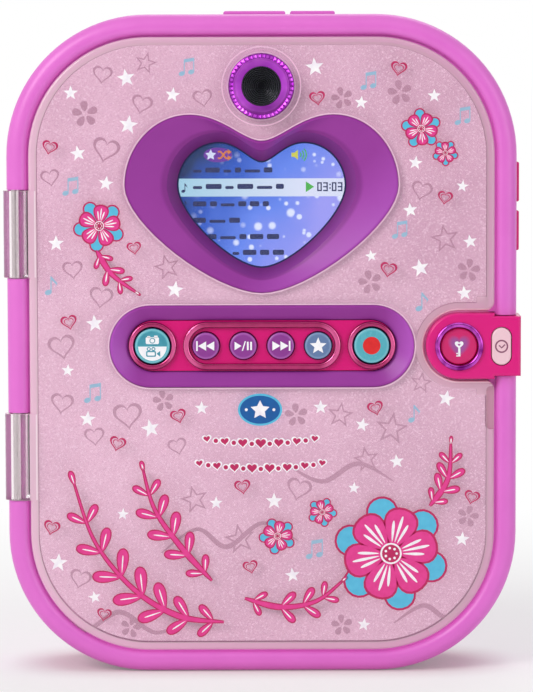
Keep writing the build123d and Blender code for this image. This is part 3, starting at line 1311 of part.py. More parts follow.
os.makedirs("parts", exist_ok=True)
for node_name, make in NODES.items():
    export_step(make(), f"parts/{node_name}.step")
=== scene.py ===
import math
import random

import bmesh
import bpy
from mathutils import Matrix, Vector


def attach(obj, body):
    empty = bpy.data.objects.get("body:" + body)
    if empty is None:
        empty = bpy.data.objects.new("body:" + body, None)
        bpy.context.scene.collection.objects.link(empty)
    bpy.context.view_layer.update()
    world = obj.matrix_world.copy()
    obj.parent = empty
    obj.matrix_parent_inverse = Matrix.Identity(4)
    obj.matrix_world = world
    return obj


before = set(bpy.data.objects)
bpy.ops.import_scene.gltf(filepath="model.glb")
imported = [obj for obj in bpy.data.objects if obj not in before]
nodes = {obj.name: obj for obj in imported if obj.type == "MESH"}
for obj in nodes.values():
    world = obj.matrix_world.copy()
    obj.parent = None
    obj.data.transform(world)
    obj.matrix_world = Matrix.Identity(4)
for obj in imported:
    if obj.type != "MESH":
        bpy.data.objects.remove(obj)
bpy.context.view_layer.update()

# ---------------------------------------------------------------- room and camera
# A wide sheet of white paper under the diary, a large soft lamp high on the left, a weaker one on
# the right, a dark curtain behind the camera that keeps glossy fronts deep in colour, and a long
# lens that looks slightly down at the upright casing.
PICTURE_HEIGHT_PX = 692
PX_PER_M = 3000
CAMERA_DISTANCE = 1.2
CAMERA_PITCH = math.radians(4.7)
CAMERA_ROLL = math.radians(0.15)
AIM = Vector((0.0015, -0.022, 0.1098))
PAPER_RADII = (0.4, 0.9, 3.4)
PAPER_STEPS = 64
SHADOW_END_MM = 140
WHITE_START_MM = 420
PAPER_GLOW = 0.45
CONTACT_REACH = 0.022
CURTAIN_Y = -2.1


def srgb(red, green, blue, alpha=1.0):
    """A colour picked in 0 to 255 steps, as the linear values that shaders take."""
    linear = [(c / 255 / 12.92) if c <= 10 else ((c / 255 + 0.055) / 1.055) ** 2.4 for c in (red, green, blue)]
    return (*linear, alpha)


class Value:
    """What one shader socket gives out. Python arithmetic on it adds the Math nodes."""

    def __init__(self, finish, socket):
        self.finish = finish
        self.socket = socket

    def math(self, operation, *terms):
        return self.finish.node("ShaderNodeMath", {"operation": operation}, dict(enumerate(terms)))

    def math_with(self, operation, *others):
        """A Math node whose first input is this value."""
        return self.math(operation, self, *others)

    def __add__(self, other):
        return self.math("ADD", self, other)

    def __radd__(self, other):
        return self.math("ADD", other, self)

    def __sub__(self, other):
        return self.math("SUBTRACT", self, other)

    def __rsub__(self, other):
        return self.math("SUBTRACT", other, self)

    def __mul__(self, other):
        return self.math("MULTIPLY", self, other)

    def __rmul__(self, other):
        return self.math("MULTIPLY", other, self)

    def __truediv__(self, other):
        return self.math("DIVIDE", self, other)

    def __pow__(self, other):
        return self.math("POWER", self, other)

    def __abs__(self):
        return self.math("ABSOLUTE", self)

    def __lt__(self, other):
        return self.math("LESS_THAN", self, other)

    def __gt__(self, other):
        return self.math("GREATER_THAN", self, other)


class Finish:
    """One material: a Principled shader, and one call that adds any other node."""

    def __init__(self, name, **plain):
        self.material = bpy.data.materials.new(name)
        self.material.use_nodes = True
        self.tree = self.material.node_tree
        self.shader = self.tree.nodes["Principled BSDF"]
        self.place = self.node("ShaderNodeTexCoord", {}, {}, "Object")
        self.mm = self.node("ShaderNodeVectorMath", {"operation": "SCALE"}, {"Vector": self.place, "Scale": 1000.0})
        for name, value in plain.items():
            self.feed(name.replace("_", " "), value)

    def node(self, kind, settings, inputs, out=0):
        """Adds a node: its type, its settings, then the values or links of its sockets."""
        made = self.tree.nodes.new(kind)
        for name, value in settings.items():
            if name == "stops":
                while len(made.color_ramp.elements) < len(value):
                    made.color_ramp.elements.new(1.0)
                for element, (position, colour) in zip(made.color_ramp.elements, value):
                    element.position = position
                    element.color = colour
            else:
                setattr(made, name, value)
        for name, value in inputs.items():
            self.join(value, made.inputs[name])
        return Value(self, made.outputs[out])

    def join(self, value, socket):
        if isinstance(value, Value):
            self.tree.links.new(value.socket, socket)
        else:
            socket.default_value = value

    def feed(self, name, value):
        """Sets or links one socket of the Principled shader."""
        self.join(value, self.shader.inputs[name])

    def mix(self, share, first, second, kind="MIX"):
        """Two colours mixed, where share is 0 for the first and 1 for the second."""
        settings = {"data_type": "RGBA", "blend_type": kind}
        return self.node("ShaderNodeMix", settings, {0: share, 6: first, 7: second}, 2)

    def axis(self, name):
        """One coordinate in the CAD frame, in millimetres."""
        return self.node("ShaderNodeSeparateXYZ", {}, {0: self.mm}, name)

    def noise(self, size, detail=2.0):
        """Soft noise from 0 to 1 whose blotches are about this many millimetres across."""
        return self.node("ShaderNodeTexNoise", {}, {"Vector": self.mm, "Scale": 1 / size, "Detail": detail})

    def ramp(self, value, low, high):
        """0 up to low, 1 from high on, and a straight line between them."""
        return self.node("ShaderNodeMapRange", {}, {"Value": value, "From Min": low, "From Max": high})

    def bump(self, height, depth_mm, strength=1.0):
        """Feeds the shader's normal with a height from 0 to 1 that is this deep."""
        inputs = {"Height": height, "Distance": depth_mm / 1000, "Strength": strength}
        self.feed("Normal", self.node("ShaderNodeBump", {}, inputs))


def floor_paper():
    """Matt white paper that takes the object's shadow, with a painted contact shadow near the object, and plain white
    to the eye further out.
    """
    paper = Finish("floor_paper", Roughness=0.9)
    paper.feed("Specular IOR Level", 0.15)
    fibre = paper.noise(3.0, 4.0)
    # Painted contact shadow: an ambient occlusion mask darkens the paper's colour near the object and holds back its
    # white glow there.
    clear_of_contact_shade = paper.node("ShaderNodeAmbientOcclusion", {}, {"Distance": CONTACT_REACH}, "AO")
    clear_of_contact_shade = paper.ramp(clear_of_contact_shade, 0.4, 0.92)
    sheet = paper.mix(fibre, srgb(247, 247, 246), srgb(250, 250, 250))
    paper.feed("Base Color", paper.mix(clear_of_contact_shade, srgb(226, 212, 210), sheet))
    white = paper.node("ShaderNodeEmission", {}, {"Color": (1, 1, 1, 1), "Strength": 1.0})
    seen = paper.node("ShaderNodeLightPath", {}, {}, "Is Camera Ray")
    for ray in ("Is Glossy Ray", "Is Transmission Ray"):
        seen = seen.math_with("MAXIMUM", paper.node("ShaderNodeLightPath", {}, {}, ray))
    x, y = paper.axis("X"), paper.axis("Y")
    far = (x * x + y * y).math_with("SQRT")
    share = paper.ramp(far, SHADOW_END_MM, WHITE_START_MM) * (1 - PAPER_GLOW) + PAPER_GLOW
    matt = Value(paper, paper.shader.outputs[0])
    both = paper.node("ShaderNodeMixShader", {}, {0: share * seen * (clear_of_contact_shade * 0.6 + 0.4), 1: matt, 2: white})
    paper.join(both, paper.tree.nodes["Material Output"].inputs["Surface"])
    return paper.material


paper_mesh = bmesh.new()
middle = paper_mesh.verts.new((0, 0, 0))
rings = []
for radius in PAPER_RADII:
    turns = [2 * math.pi * step / PAPER_STEPS for step in range(PAPER_STEPS)]
    rings.append([paper_mesh.verts.new((radius * math.cos(a), radius * math.sin(a), 0)) for a in turns])
for step in range(PAPER_STEPS):
    after = (step + 1) % PAPER_STEPS
    paper_mesh.faces.new((middle, rings[0][step], rings[0][after]))
    for near, far in zip(rings, rings[1:]):
        paper_mesh.faces.new((near[step], far[step], far[after], near[after]))
paper_data = bpy.data.meshes.new("floor_paper")
paper_mesh.to_mesh(paper_data)
paper_mesh.free()
paper_data.materials.append(floor_paper())
floor = bpy.data.objects.new("floor_paper", paper_data)
bpy.context.scene.collection.objects.link(floor)

camera_data = bpy.data.cameras.new("front_camera")
camera_data.sensor_width = 36.0
camera_data.lens = camera_data.sensor_width * CAMERA_DISTANCE * PX_PER_M / PICTURE_HEIGHT_PX
camera = bpy.data.objects.new("front_camera", camera_data)
toward = Vector((0, math.cos(CAMERA_PITCH), -math.sin(CAMERA_PITCH)))
camera.matrix_world = (
    Matrix.Translation(AIM - CAMERA_DISTANCE * toward)
    @ Matrix.Rotation(CAMERA_ROLL, 4, toward)
    @ toward.to_track_quat("-Z", "Y").to_matrix().to_4x4()
)
bpy.context.scene.collection.objects.link(camera)
bpy.context.scene.camera = camera
bpy.context.scene.view_settings.view_transform = "Standard"


def soft_lamp(name, place, size, watts, colour):
    lamp_data = bpy.data.lights.new(name, "AREA")
    lamp_data.shape = "RECTANGLE"
    lamp_data.size, lamp_data.size_y = size
    lamp_data.energy = watts
    lamp_data.color = colour
    lamp = bpy.data.objects.new(name, lamp_data)
    lamp.location = place
    lamp.rotation_euler = (AIM - Vector(place)).to_track_quat("-Z", "Y").to_euler()
    bpy.context.scene.collection.objects.link(lamp)


soft_lamp("key_lamp", (-1.15, -1.2, 1.1), (0.9, 0.9), 18.5, (1.0, 0.99, 0.97))
soft_lamp("fill_lamp", (1.3, -1.2, 0.5), (0.8, 1.2), 6.0, (0.97, 0.98, 1.0))
soft_lamp("back_lamp", (0.3, 1.0, 1.4), (1.2, 0.6), 5.0, (1.0, 1.0, 1.0))

curtain_mesh = bmesh.new()
corners = [(x, CURTAIN_Y, z) for x, z in ((-0.7, 0.0), (0.7, 0.0), (0.7, 1.0), (-0.7, 1.0))]
curtain_mesh.faces.new([curtain_mesh.verts.new(corner) for corner in corners])
curtain_data = bpy.data.meshes.new("dark_curtain")
curtain_mesh.to_mesh(curtain_data)
curtain_mesh.free()
curtain_cloth = Finish("curtain_cloth", Roughness=1.0)
curtain_cloth.feed("Specular IOR Level", 0.0)
curtain_cloth.feed("Base Color", curtain_cloth.mix(curtain_cloth.noise(40.0), srgb(30, 28, 34), srgb(38, 36, 42)))
curtain_data.materials.append(curtain_cloth.material)
curtain = bpy.data.objects.new("dark_curtain", curtain_data)
curtain.visible_camera = False
bpy.context.scene.collection.objects.link(curtain)

world = bpy.data.worlds.new("studio")
world.use_nodes = True
bpy.context.scene.world = world
sky = world.node_tree
air = sky.nodes["Background"]
air.inputs["Color"].default_value = (1.0, 0.99, 1.0, 1.0)
air.inputs["Strength"].default_value = 0.48
shown = sky.nodes.new("ShaderNodeBackground")
shown.inputs["Color"].default_value = (1.0, 1.0, 1.0, 1.0)
shown.inputs["Strength"].default_value = 1.0
rays = sky.nodes.new("ShaderNodeLightPath")
seen = rays.outputs["Is Camera Ray"]
for ray in ("Is Glossy Ray", "Is Transmission Ray"):
    either = sky.nodes.new("ShaderNodeMath")
    either.operation = "MAXIMUM"
    sky.links.new(seen, either.inputs[0])
    sky.links.new(rays.outputs[ray], either.inputs[1])
    seen = either.outputs[0]
choose = sky.nodes.new("ShaderNodeMixShader")
sky.links.new(seen, choose.inputs[0])
sky.links.new(air.outputs[0], choose.inputs[1])
sky.links.new(shown.outputs[0], choose.inputs[2])
sky.links.new(choose.outputs[0], sky.nodes["World Output"].inputs["Surface"])

# ---------------------------------------------------------------- casing
# Two injection moulded halves in orchid pink ABS that meet at a fine line round the sides, held
# by eight screws from behind. The battery bay, its door, the power button, the port cover and
# the lid's bolt tab are of the same plastic.
CASING_PINK = srgb(231, 116, 213)
CASING_PINK_DEEP = srgb(221, 105, 203)
PARTING_Y = 6.0
PARTING_WIDTH = 0.22
PARTING_SHADE = srgb(150, 60, 140)


def moulded(name, colour, second, roughness, grain=0.35, depth=0.012):
    """Moulded plastic: cloudy colour, a fine spark-eroded grain and slightly uneven gloss."""
    finish = Finish(name)
    cloud = finish.noise(14.0, 3.0)
    finish.tint = finish.mix(cloud, colour, second)
    finish.feed("Base Color", finish.tint)
    fine = finish.noise(grain, 2.0)
    finish.feed("Roughness", finish.noise(6.0, 3.0) * 0.12 + (roughness - 0.06))
    finish.bump(fine, depth)
    return finish


def dress(finish, *names):
    """Gives CAD nodes their finish, in the slots that they came with."""
    for name in names:
        for slot in nodes[name].material_slots:
            slot.material = finish.material


casing = moulded("casing_satin", CASING_PINK, CASING_PINK_DEEP, 0.36)
off_line = casing.ramp(abs(casing.axis("Y") - PARTING_Y), PARTING_WIDTH / 2, PARTING_WIDTH)
casing.feed("Base Color", casing.mix(off_line, PARTING_SHADE, casing.tint))
dress(casing, "front_frame", "rear_shell")
plain_casing = moulded("casing_small_parts", CASING_PINK, CASING_PINK_DEEP, 0.34)
dress(plain_casing, "battery_door", "power_button", "port_cover", "battery_tub", "lid_strike")

# ---------------------------------------------------------------- screws, hinge pins and bolt
# Drawn steel wire and stamped steel, plain and slightly brushed: eight case screws, the battery
# door's screw, the two hinge pins that are pushed in from the ends, and the square lock bolt.
STEEL = srgb(228, 228, 226)
STEEL_DARK = srgb(176, 176, 176)
BRUSH_SIZE = 0.25


def brushed_steel(name, along):
    """Steel with fine scratches along one axis, 0 for X, 1 for Y and 2 for Z."""
    steel = Finish(name, Metallic=1.0)
    stretch = [1.0 / BRUSH_SIZE] * 3
    stretch[along] *= 0.04
    drawn = steel.node("ShaderNodeVectorMath", {"operation": "MULTIPLY"}, {0: steel.mm, 1: tuple(stretch)})
    scratch = steel.node("ShaderNodeTexNoise", {}, {"Vector": drawn, "Scale": 1.0, "Detail": 3.0})
    steel.feed("Base Color", steel.mix(scratch, STEEL_DARK, STEEL))
    steel.feed("Roughness", scratch * 0.2 + 0.2)
    steel.bump(scratch, 0.008)
    return steel


dress(brushed_steel("turned_screws", 0), "case_screws", "battery_door_screw")
dress(brushed_steel("drawn_pins", 2), "upper_hinge_pin", "lower_hinge_pin")
dress(brushed_steel("ground_bolt", 0), "lock_bolt")

# ---------------------------------------------------------------- lid cover
# One injection moulded plate of clear acrylic with a faint pink cast. Its flat front is polished;
# its rounded edges are made cloudy and pale, a painted highlight for the light they catch, and
# the two thick hinge knuckles bend what is behind them.
COVER_CLEAR = srgb(254, 251, 253)
COVER_HAZE = srgb(240, 200, 220)
BORDER_LIT_SIDE = srgb(240, 204, 220)
BORDER_SHADED_SIDE = srgb(218, 176, 196)
SCOOP_SHADE = srgb(196, 152, 166)
EDGE_LIGHT = srgb(255, 236, 244)
HINGE_CLEAR = srgb(254, 248, 250)
HINGE_ARM_END_X = -75.35
KNUCKLE_END_X = -77.6
FLAT_HAZE = 0.2
BORDER_HAZE = 0.78
EDGE_HIGHLIGHT_HAZE = 0.85
KNUCKLE_HAZE = 0.1
ACRYLIC_IOR = 1.49
SHEET_HALF_WIDTH = 74.8
SHEET_HALF_HEIGHT = 99.8
SHEET_CORNER_R = 36.8
LID_CENTRE_Z = 110.0
LOCK_AXIS_X = 65.6
ROW_Z = 109.7
NOTCH_SHEET_R = 14.4
NOTCH_EDGE_R = 12.1
NOTCH_LINE_HALF = 0.3
SCOOP_FLOOR_Y = -20.5
KNUCKLE_OFFSET = 37.25
KNUCKLE_HALF = 14.5


def true_flats(finish):
    """The surface normal, with the flat front and back faces kept exactly flat."""
    shape = finish.node("ShaderNodeNewGeometry", {}, {}, "True Normal")
    soft = finish.node("ShaderNodeNewGeometry", {}, {}, "Normal")
    turned = finish.node(
        "ShaderNodeVectorTransform",
        {"vector_type": "NORMAL", "convert_from": "WORLD", "convert_to": "OBJECT"}, {0: shape},
    )
    facing = abs(finish.node("ShaderNodeSeparateXYZ", {}, {0: turned}, "Y"))
    flat = facing > 0.9995
    return finish.node("ShaderNodeMix", {"data_type": "VECTOR"}, {0: flat, 4: soft, 5: shape}, 1), facing


cover = Finish("clear_acrylic", Roughness=0.12)
cover_normal, cover_facing = true_flats(cover)
out_x = (abs(cover.axis("X")) - (SHEET_HALF_WIDTH - SHEET_CORNER_R)).math_with("MAXIMUM", 0.0)
out_z = (abs(cover.axis("Z") - LID_CENTRE_Z) - (SHEET_HALF_HEIGHT - SHEET_CORNER_R)).math_with("MAXIMUM", 0.0)
past_sheet = (out_x * out_x + out_z * out_z).math_with("SQRT") - SHEET_CORNER_R
past_x = (cover.axis("X") - LOCK_AXIS_X).math_with("MINIMUM", 0.0)
past_z = cover.axis("Z") - ROW_Z
from_lock = (past_x * past_x + past_z * past_z).math_with("SQRT")
round_lock = cover.ramp(from_lock, NOTCH_SHEET_R + 0.15, NOTCH_SHEET_R - 0.15)
in_corner = cover.ramp(cover.axis("X"), 71.2, 71.8) * cover.ramp(abs(past_z), 16.8, 16.2)
on_border = cover.ramp(past_sheet, -0.15, 0.15).math_with("MAXIMUM", round_lock).math_with("MAXIMUM", in_corner)
in_scoop = cover.ramp(cover.axis("Y"), SCOOP_FLOOR_Y - 0.6, SCOOP_FLOOR_Y - 0.3) * (cover.axis("X") > 70.0)
beside_arm = cover.ramp(abs(abs(cover.axis("Z") - LID_CENTRE_Z) - KNUCKLE_OFFSET), KNUCKLE_HALF, KNUCKLE_HALF - 0.2)
# Painted highlights: thin pale lines where the hinge arms end and round the lock notch.
painted_edge_glints = cover.ramp(abs(cover.axis("X") - HINGE_ARM_END_X), 0.3, 0.15) * beside_arm
painted_notch_glint = cover.ramp(abs(from_lock - NOTCH_EDGE_R), NOTCH_LINE_HALF + 0.1, NOTCH_LINE_HALF - 0.1)
painted_edge_glints = painted_edge_glints.math_with("MAXIMUM", painted_notch_glint * (cover.axis("Y") < SCOOP_FLOOR_Y))
haze_tint = cover.mix(cover.noise(9.0), COVER_HAZE, srgb(234, 194, 214))
# The border is painted lighter on the hinge side and darker towards the lock, a painted light falloff from the left;
# the finger scoop's floor is painted darker, painted shade in the recess.
toward_shaded_side = cover.ramp(cover.axis("X"), -SHEET_HALF_WIDTH, SHEET_HALF_WIDTH)
painted_side_light = cover.mix(toward_shaded_side ** 0.5, BORDER_LIT_SIDE, BORDER_SHADED_SIDE)
border_tint = cover.mix(in_scoop, painted_side_light, SCOOP_SHADE)
flat_tint = cover.mix(on_border, haze_tint, border_tint)
cover.feed("Base Color", cover.mix(painted_edge_glints, flat_tint, EDGE_LIGHT))
cover.feed("Normal", cover_normal)
gloss = cover.node("ShaderNodeBsdfGlossy", {}, {"Color": (1, 1, 1, 1), "Roughness": 0.06, "Normal": cover_normal})
clear = cover.node("ShaderNodeBsdfTransparent", {}, {"Color": COVER_CLEAR})
lets_light = 1.0 - cover.node("ShaderNodeLightPath", {}, {}, "Is Shadow Ray")
from_front = 1.0 - cover.node("ShaderNodeNewGeometry", {}, {}, "Backfacing")
fresnel = cover.node("ShaderNodeFresnel", {}, {"IOR": ACRYLIC_IOR, "Normal": cover_normal}) * lets_light * from_front
pane = cover.node("ShaderNodeMixShader", {}, {0: fresnel, 1: clear, 2: gloss})
flat_haze = (on_border * (BORDER_HAZE - FLAT_HAZE) + FLAT_HAZE).math_with("MAXIMUM", painted_edge_glints * EDGE_HIGHLIGHT_HAZE)
edge_share = cover.ramp(cover_facing, 1.0, 0.7)
haze = (edge_share * (EDGE_HIGHLIGHT_HAZE - flat_haze) + flat_haze) * from_front * lets_light
body_shade = Value(cover, cover.shader.outputs[0])
plate = cover.node("ShaderNodeMixShader", {}, {0: haze, 1: pane, 2: body_shade})
bent = cover.node(
    "ShaderNodeBsdfPrincipled", {},
    {"Base Color": HINGE_CLEAR, "Roughness": 0.04, "IOR": ACRYLIC_IOR, "Transmission Weight": 1.0},
)
knuckle = cover.node("ShaderNodeMixShader", {}, {0: from_front * KNUCKLE_HAZE, 1: bent, 2: body_shade})
at_hinge = (cover.axis("X") < KNUCKLE_END_X) * beside_arm
both = cover.node("ShaderNodeMixShader", {}, {0: at_hinge, 1: plate, 2: knuckle})
cover.join(both, cover.tree.nodes["Material Output"].inputs["Surface"])
dress(cover, "lid_cover")

# ---------------------------------------------------------------- glitter sheet
# A thin pale pink sheet full of fine metal flakes, bonded behind the clear plate and stopped
# short of its edges, so that the plate keeps a clear border.
GLITTER_PINK = srgb(235, 204, 221)
GLITTER_MAUVE = srgb(213, 178, 197)
GLITTER_SPARK = srgb(255, 236, 248)
GLITTER_SHADE = srgb(206, 164, 192)
FLAKE_SIZE = 0.42
FLAKE_TILT = 0.35

glitter = Finish("pale_pink_glitter", Metallic=0.0)
flake_colour = glitter.node("ShaderNodeTexVoronoi", {}, {"Vector": glitter.mm, "Scale": 1 / FLAKE_SIZE}, "Color")
flake = glitter.node("ShaderNodeSeparateXYZ", {}, {0: flake_colour}, "X")
cloud = glitter.ramp(glitter.noise(26.0, 3.0), 0.35, 0.65)
# Half of the tint's change is random cloud, and half is a painted light falloff: the sheet is lighter towards the
# hinge side, as if lit from the left.
painted_light_toward_hinge = glitter.ramp(glitter.axis("X"), SHEET_HALF_WIDTH, -SHEET_HALF_WIDTH)
sheet_tint = glitter.mix(cloud * 0.5 + painted_light_toward_hinge * 0.5, GLITTER_MAUVE, GLITTER_PINK)
# Random flakes are painted darker, as painted shade, and the brightest are painted near white, as painted sparkle.
shaded = glitter.mix(glitter.ramp(flake, 0.25, 0.0) * 0.5, sheet_tint, GLITTER_SHADE)
glitter.feed("Base Color", glitter.mix(glitter.ramp(flake, 0.75, 1.0) * 0.7, shaded, GLITTER_SPARK))
glitter.feed("Roughness", glitter.ramp(flake, 0.0, 1.0) * -0.25 + 0.55)
away = glitter.node("ShaderNodeVectorMath", {"operation": "SUBTRACT"}, {0: flake_colour, 1: (0.5, 0.5, 0.5)})
tilt = glitter.node("ShaderNodeVectorMath", {"operation": "SCALE"}, {"Vector": away, "Scale": FLAKE_TILT})
level = glitter.node("ShaderNodeNewGeometry", {}, {}, "Normal")
leant = glitter.node("ShaderNodeVectorMath", {"operation": "ADD"}, {0: level, 1: tilt})
glitter.feed("Normal", glitter.node("ShaderNodeVectorMath", {"operation": "NORMALIZE"}, {0: leant}))
dress(glitter, "lid_glitter_panel")

# ---------------------------------------------------------------- printed motifs on the lid
# Screen printed ink on the plate's front: small stars, hearts and notes scattered as a pattern,
# and, larger, flowers and leafy sprays of our own design in pink, blue and crimson, an oval with
# a star, and a garland of hearts and dots.
INK_WHITE = srgb(255, 254, 255)
INK_PINK = srgb(232, 64, 150)
INK_CRIMSON = srgb(196, 30, 96)
INK_BLUE = srgb(92, 192, 226)
INK_PALE_BLUE = srgb(144, 184, 212)
LID_FRONT_Y = -22.3
INK_STEP = 0.02
TINY_OVERLAP = 0.004


def star_loop(x, z, radius, turn=0.0, points=5, waist=0.42):
    """A pointed star, with its first point up."""
    loop = []
    for step in range(2 * points):
        reach = radius if step % 2 == 0 else radius * waist
        angle = math.radians(turn) + math.pi / 2 + step * math.pi / points
        loop.append((x + reach * math.cos(angle), z + reach * math.sin(angle)))
    return loop


def heart_loop(x, z, width, turn=0.0, steps=36):
    loop = []
    slant = math.radians(turn)
    for step in range(steps):
        t = 2 * math.pi * step / steps
        across = 16 * math.sin(t) ** 3
        up = 13 * math.cos(t) - 5 * math.cos(2 * t) - 2 * math.cos(3 * t) - math.cos(4 * t) + 2.5
        across, up = across * width / 32, up * width / 32
        loop.append((
            x + across * math.cos(slant) - up * math.sin(slant),
            z + across * math.sin(slant) + up * math.cos(slant),
        ))
    return loop


def oval_loop(x, z, width, height, turn=0.0, steps=24):
    slant = math.radians(turn)
    loop = []
    for step in range(steps):
        angle = 2 * math.pi * step / steps
        across, up = width / 2 * math.cos(angle), height / 2 * math.sin(angle)
        loop.append((
            x + across * math.cos(slant) - up * math.sin(slant),
            z + across * math.sin(slant) + up * math.cos(slant),
        ))
    return loop


def petal_loop(x, z, length, width, turn, start=0.0, steps=22):
    """A drop-shaped petal that points away from (x, z) at an angle, from a distance of start."""
    slant = math.radians(turn)
    loop = []
    for step in range(steps):
        t = 2 * math.pi * step / steps
        along = start + length * (1 - math.cos(t)) / 2
        side = width / 2 * math.sin(t) * (0.45 + 0.55 * (1 - math.cos(t)) / 2) * 1.15
        loop.append((
            x + along * math.cos(slant) - side * math.sin(slant),
            z + along * math.sin(slant) + side * math.cos(slant),
        ))
    return loop


def slab(shape, loop, front, back):
    """Adds a closed flat solid with this outline, in millimetres, between two depths."""
    fore = [shape.verts.new((x, front, z)) for x, z in loop]
    rear = [shape.verts.new((x, back, z)) for x, z in loop]
    shape.faces.new(fore)
    shape.faces.new(rear[::-1])
    for here in range(len(loop)):
        there = (here + 1) % len(loop)
        shape.faces.new((fore[there], fore[here], rear[here], rear[there]))


def band(shape, outer, inner, front, back):
    """Adds a closed flat ring between two outlines that have the same number of points."""
    corners = [
        [shape.verts.new((x, y, z)) for x, z in loop] for loop in (outer, inner) for y in (front, back)
    ]
    outer_fore, outer_rear, inner_fore, inner_rear = corners
    for here in range(len(outer)):
        there = (here + 1) % len(outer)
        shape.faces.new((outer_fore[here], outer_fore[there], inner_fore[there], inner_fore[here]))
        shape.faces.new((outer_rear[there], outer_rear[here], inner_rear[here], inner_rear[there]))
        shape.faces.new((outer_fore[there], outer_fore[here], outer_rear[here], outer_rear[there]))
        shape.faces.new((inner_fore[here], inner_fore[there], inner_rear[there], inner_rear[here]))


def stroke(shape, points, widths, front, back):
    """Adds a closed flat strip along points, as wide at each as widths says."""
    left, right = [], []
    for here, (x, z) in enumerate(points):
        before, after = points[max(here - 1, 0)], points[min(here + 1, len(points) - 1)]
        run, rise = after[0] - before[0], after[1] - before[1]
        length = math.hypot(run, rise)
        half = widths[here] / 2
        left.append((x - rise / length * half, z + run / length * half))
        right.append((x + rise / length * half, z - run / length * half))
    rows = [
        [shape.verts.new((side[0], y, side[1])) for side, y in ((a, front), (b, front), (b, back), (a, back))]
        for a, b in zip(left, right)
    ]
    for here, there in zip(rows, rows[1:]):
        for side in range(4):
            after = (side + 1) % 4
            shape.faces.new((here[side], there[side], there[after], here[after]))
    shape.faces.new(rows[0])
    shape.faces.new(rows[-1][::-1])


def smooth_line(knots, steps=10):
    """Points on a smooth curve through the knots."""
    points = []
    ends = [knots[0], *knots, knots[-1]]
    for a, b, c, d in zip(ends, ends[1:], ends[2:], ends[3:]):
        for step in range(steps):
            t = step / steps
            points.append(tuple(
                0.5 * (2 * q + (r - p) * t + (2 * p - 5 * q + 4 * r - s) * t**2 + (3 * q - p - 3 * r + s) * t**3)
                for p, q, r, s in zip(a, b, c, d)
            ))
    points.append(knots[-1])
    return points


def piece(name, shape, body, finish, smooth=False):
    """Makes a Blender object of a shape in millimetres, and hangs it on its CAD body."""
    bmesh.ops.recalc_face_normals(shape, faces=shape.faces)
    bmesh.ops.scale(shape, vec=(0.001, 0.001, 0.001), verts=shape.verts)
    data = bpy.data.meshes.new(name)
    shape.to_mesh(data)
    shape.free()
    for face in data.polygons:
        face.use_smooth = smooth
    data.materials.append(finish.material)
    made = bpy.data.objects.new(name, data)
    bpy.context.scene.collection.objects.link(made)
    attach(made, body)
    return made


def printed_ink(name, colour, second):
    """A thin coat of screen printing ink, a little uneven in colour and gloss."""
    ink = Finish(name)
    ink.feed("Base Color", ink.mix(ink.ramp(ink.noise(2.5, 3.0), 0.3, 0.7), colour, second))
    ink.feed("Roughness", ink.noise(1.2) * 0.15 + 0.3)
    ink.bump(ink.noise(0.3), 0.004)
    return ink


def lid_print(name, loops, layer, finish):
    """Slabs of ink on the lid's front, where layer 1 lies on the plate and 2 on layer 1."""
    shape = bmesh.new()
    for loop in loops:
        slab(shape, loop, LID_FRONT_Y - INK_STEP * layer, LID_FRONT_Y - INK_STEP * (layer - 1) + TINY_OVERLAP)
    made = piece(name, shape, "lid", finish)
    made.visible_shadow = False
    return made


white_ink = printed_ink("white_ink", INK_WHITE, srgb(240, 234, 244))
pink_ink = printed_ink("hot_pink_ink", INK_PINK, srgb(222, 52, 138))
crimson_ink = printed_ink("crimson_ink", INK_CRIMSON, srgb(180, 26, 88))
blue_ink = printed_ink("sky_blue_ink", INK_BLUE, srgb(82, 182, 218))
pale_blue_ink = printed_ink("pale_blue_ink", INK_PALE_BLUE, srgb(156, 190, 212))

# Each star's place, its radius and its turn.
WHITE_STARS = [
    (33.4, 83.3, 2.4, -12), (44.9, 71.0, 2.5, 6), (-37.3, 82.3, 3.2, 12), (-20.2, 89.1, 2.4, 0),
    (36.4, 139.8, 2.1, 9), (69.3, 144.5, 2.4, 9), (61.4, 92.1, 2.9, -12), (-64.8, 101.8, 2.2, -5),
    (-46.7, 53.5, 2.1, -5), (57.3, 192.9, 2.3, 0), (-51.7, 164.1, 2.6, -8), (67.4, 127.3, 2.6, 6),
    (-63.2, 194.1, 2.5, 0), (-58.3, 85.5, 2.8, -5), (-44.8, 199.0, 3.1, 9), (-68.4, 144.2, 2.8, 0),
    (-28.9, 128.7, 3.0, -8), (3.9, 57.8, 2.9, 0), (-15.5, 57.2, 2.3, 0), (-55.7, 117.5, 3.0, 6),
    (66.8, 44.8, 2.6, -5), (-60.9, 174.1, 2.7, 9), (30.6, 62.1, 2.1, -5), (-68.4, 37.2, 3.2, -5),
    (19.5, 89.3, 2.5, 0), (-44.1, 183.5, 3.3, -8), (49.4, 155.0, 2.5, 6), (52.7, 135.7, 3.1, 12),
    (10.0, 32.8, 2.6, 6), (66.7, 162.9, 2.1, -8), (17.7, 202.5, 3.2, 6), (-29.4, 193.4, 2.6, -8),
    (33.1, 190.7, 2.3, -5), (33.9, 16.0, 2.3, -8), (-56.3, 25.5, 2.2, 12), (51.1, 170.7, 2.4, -8),
]
lid_print("white_star_prints", [star_loop(x, z, r, turn) for x, z, r, turn in WHITE_STARS], 1, white_ink)

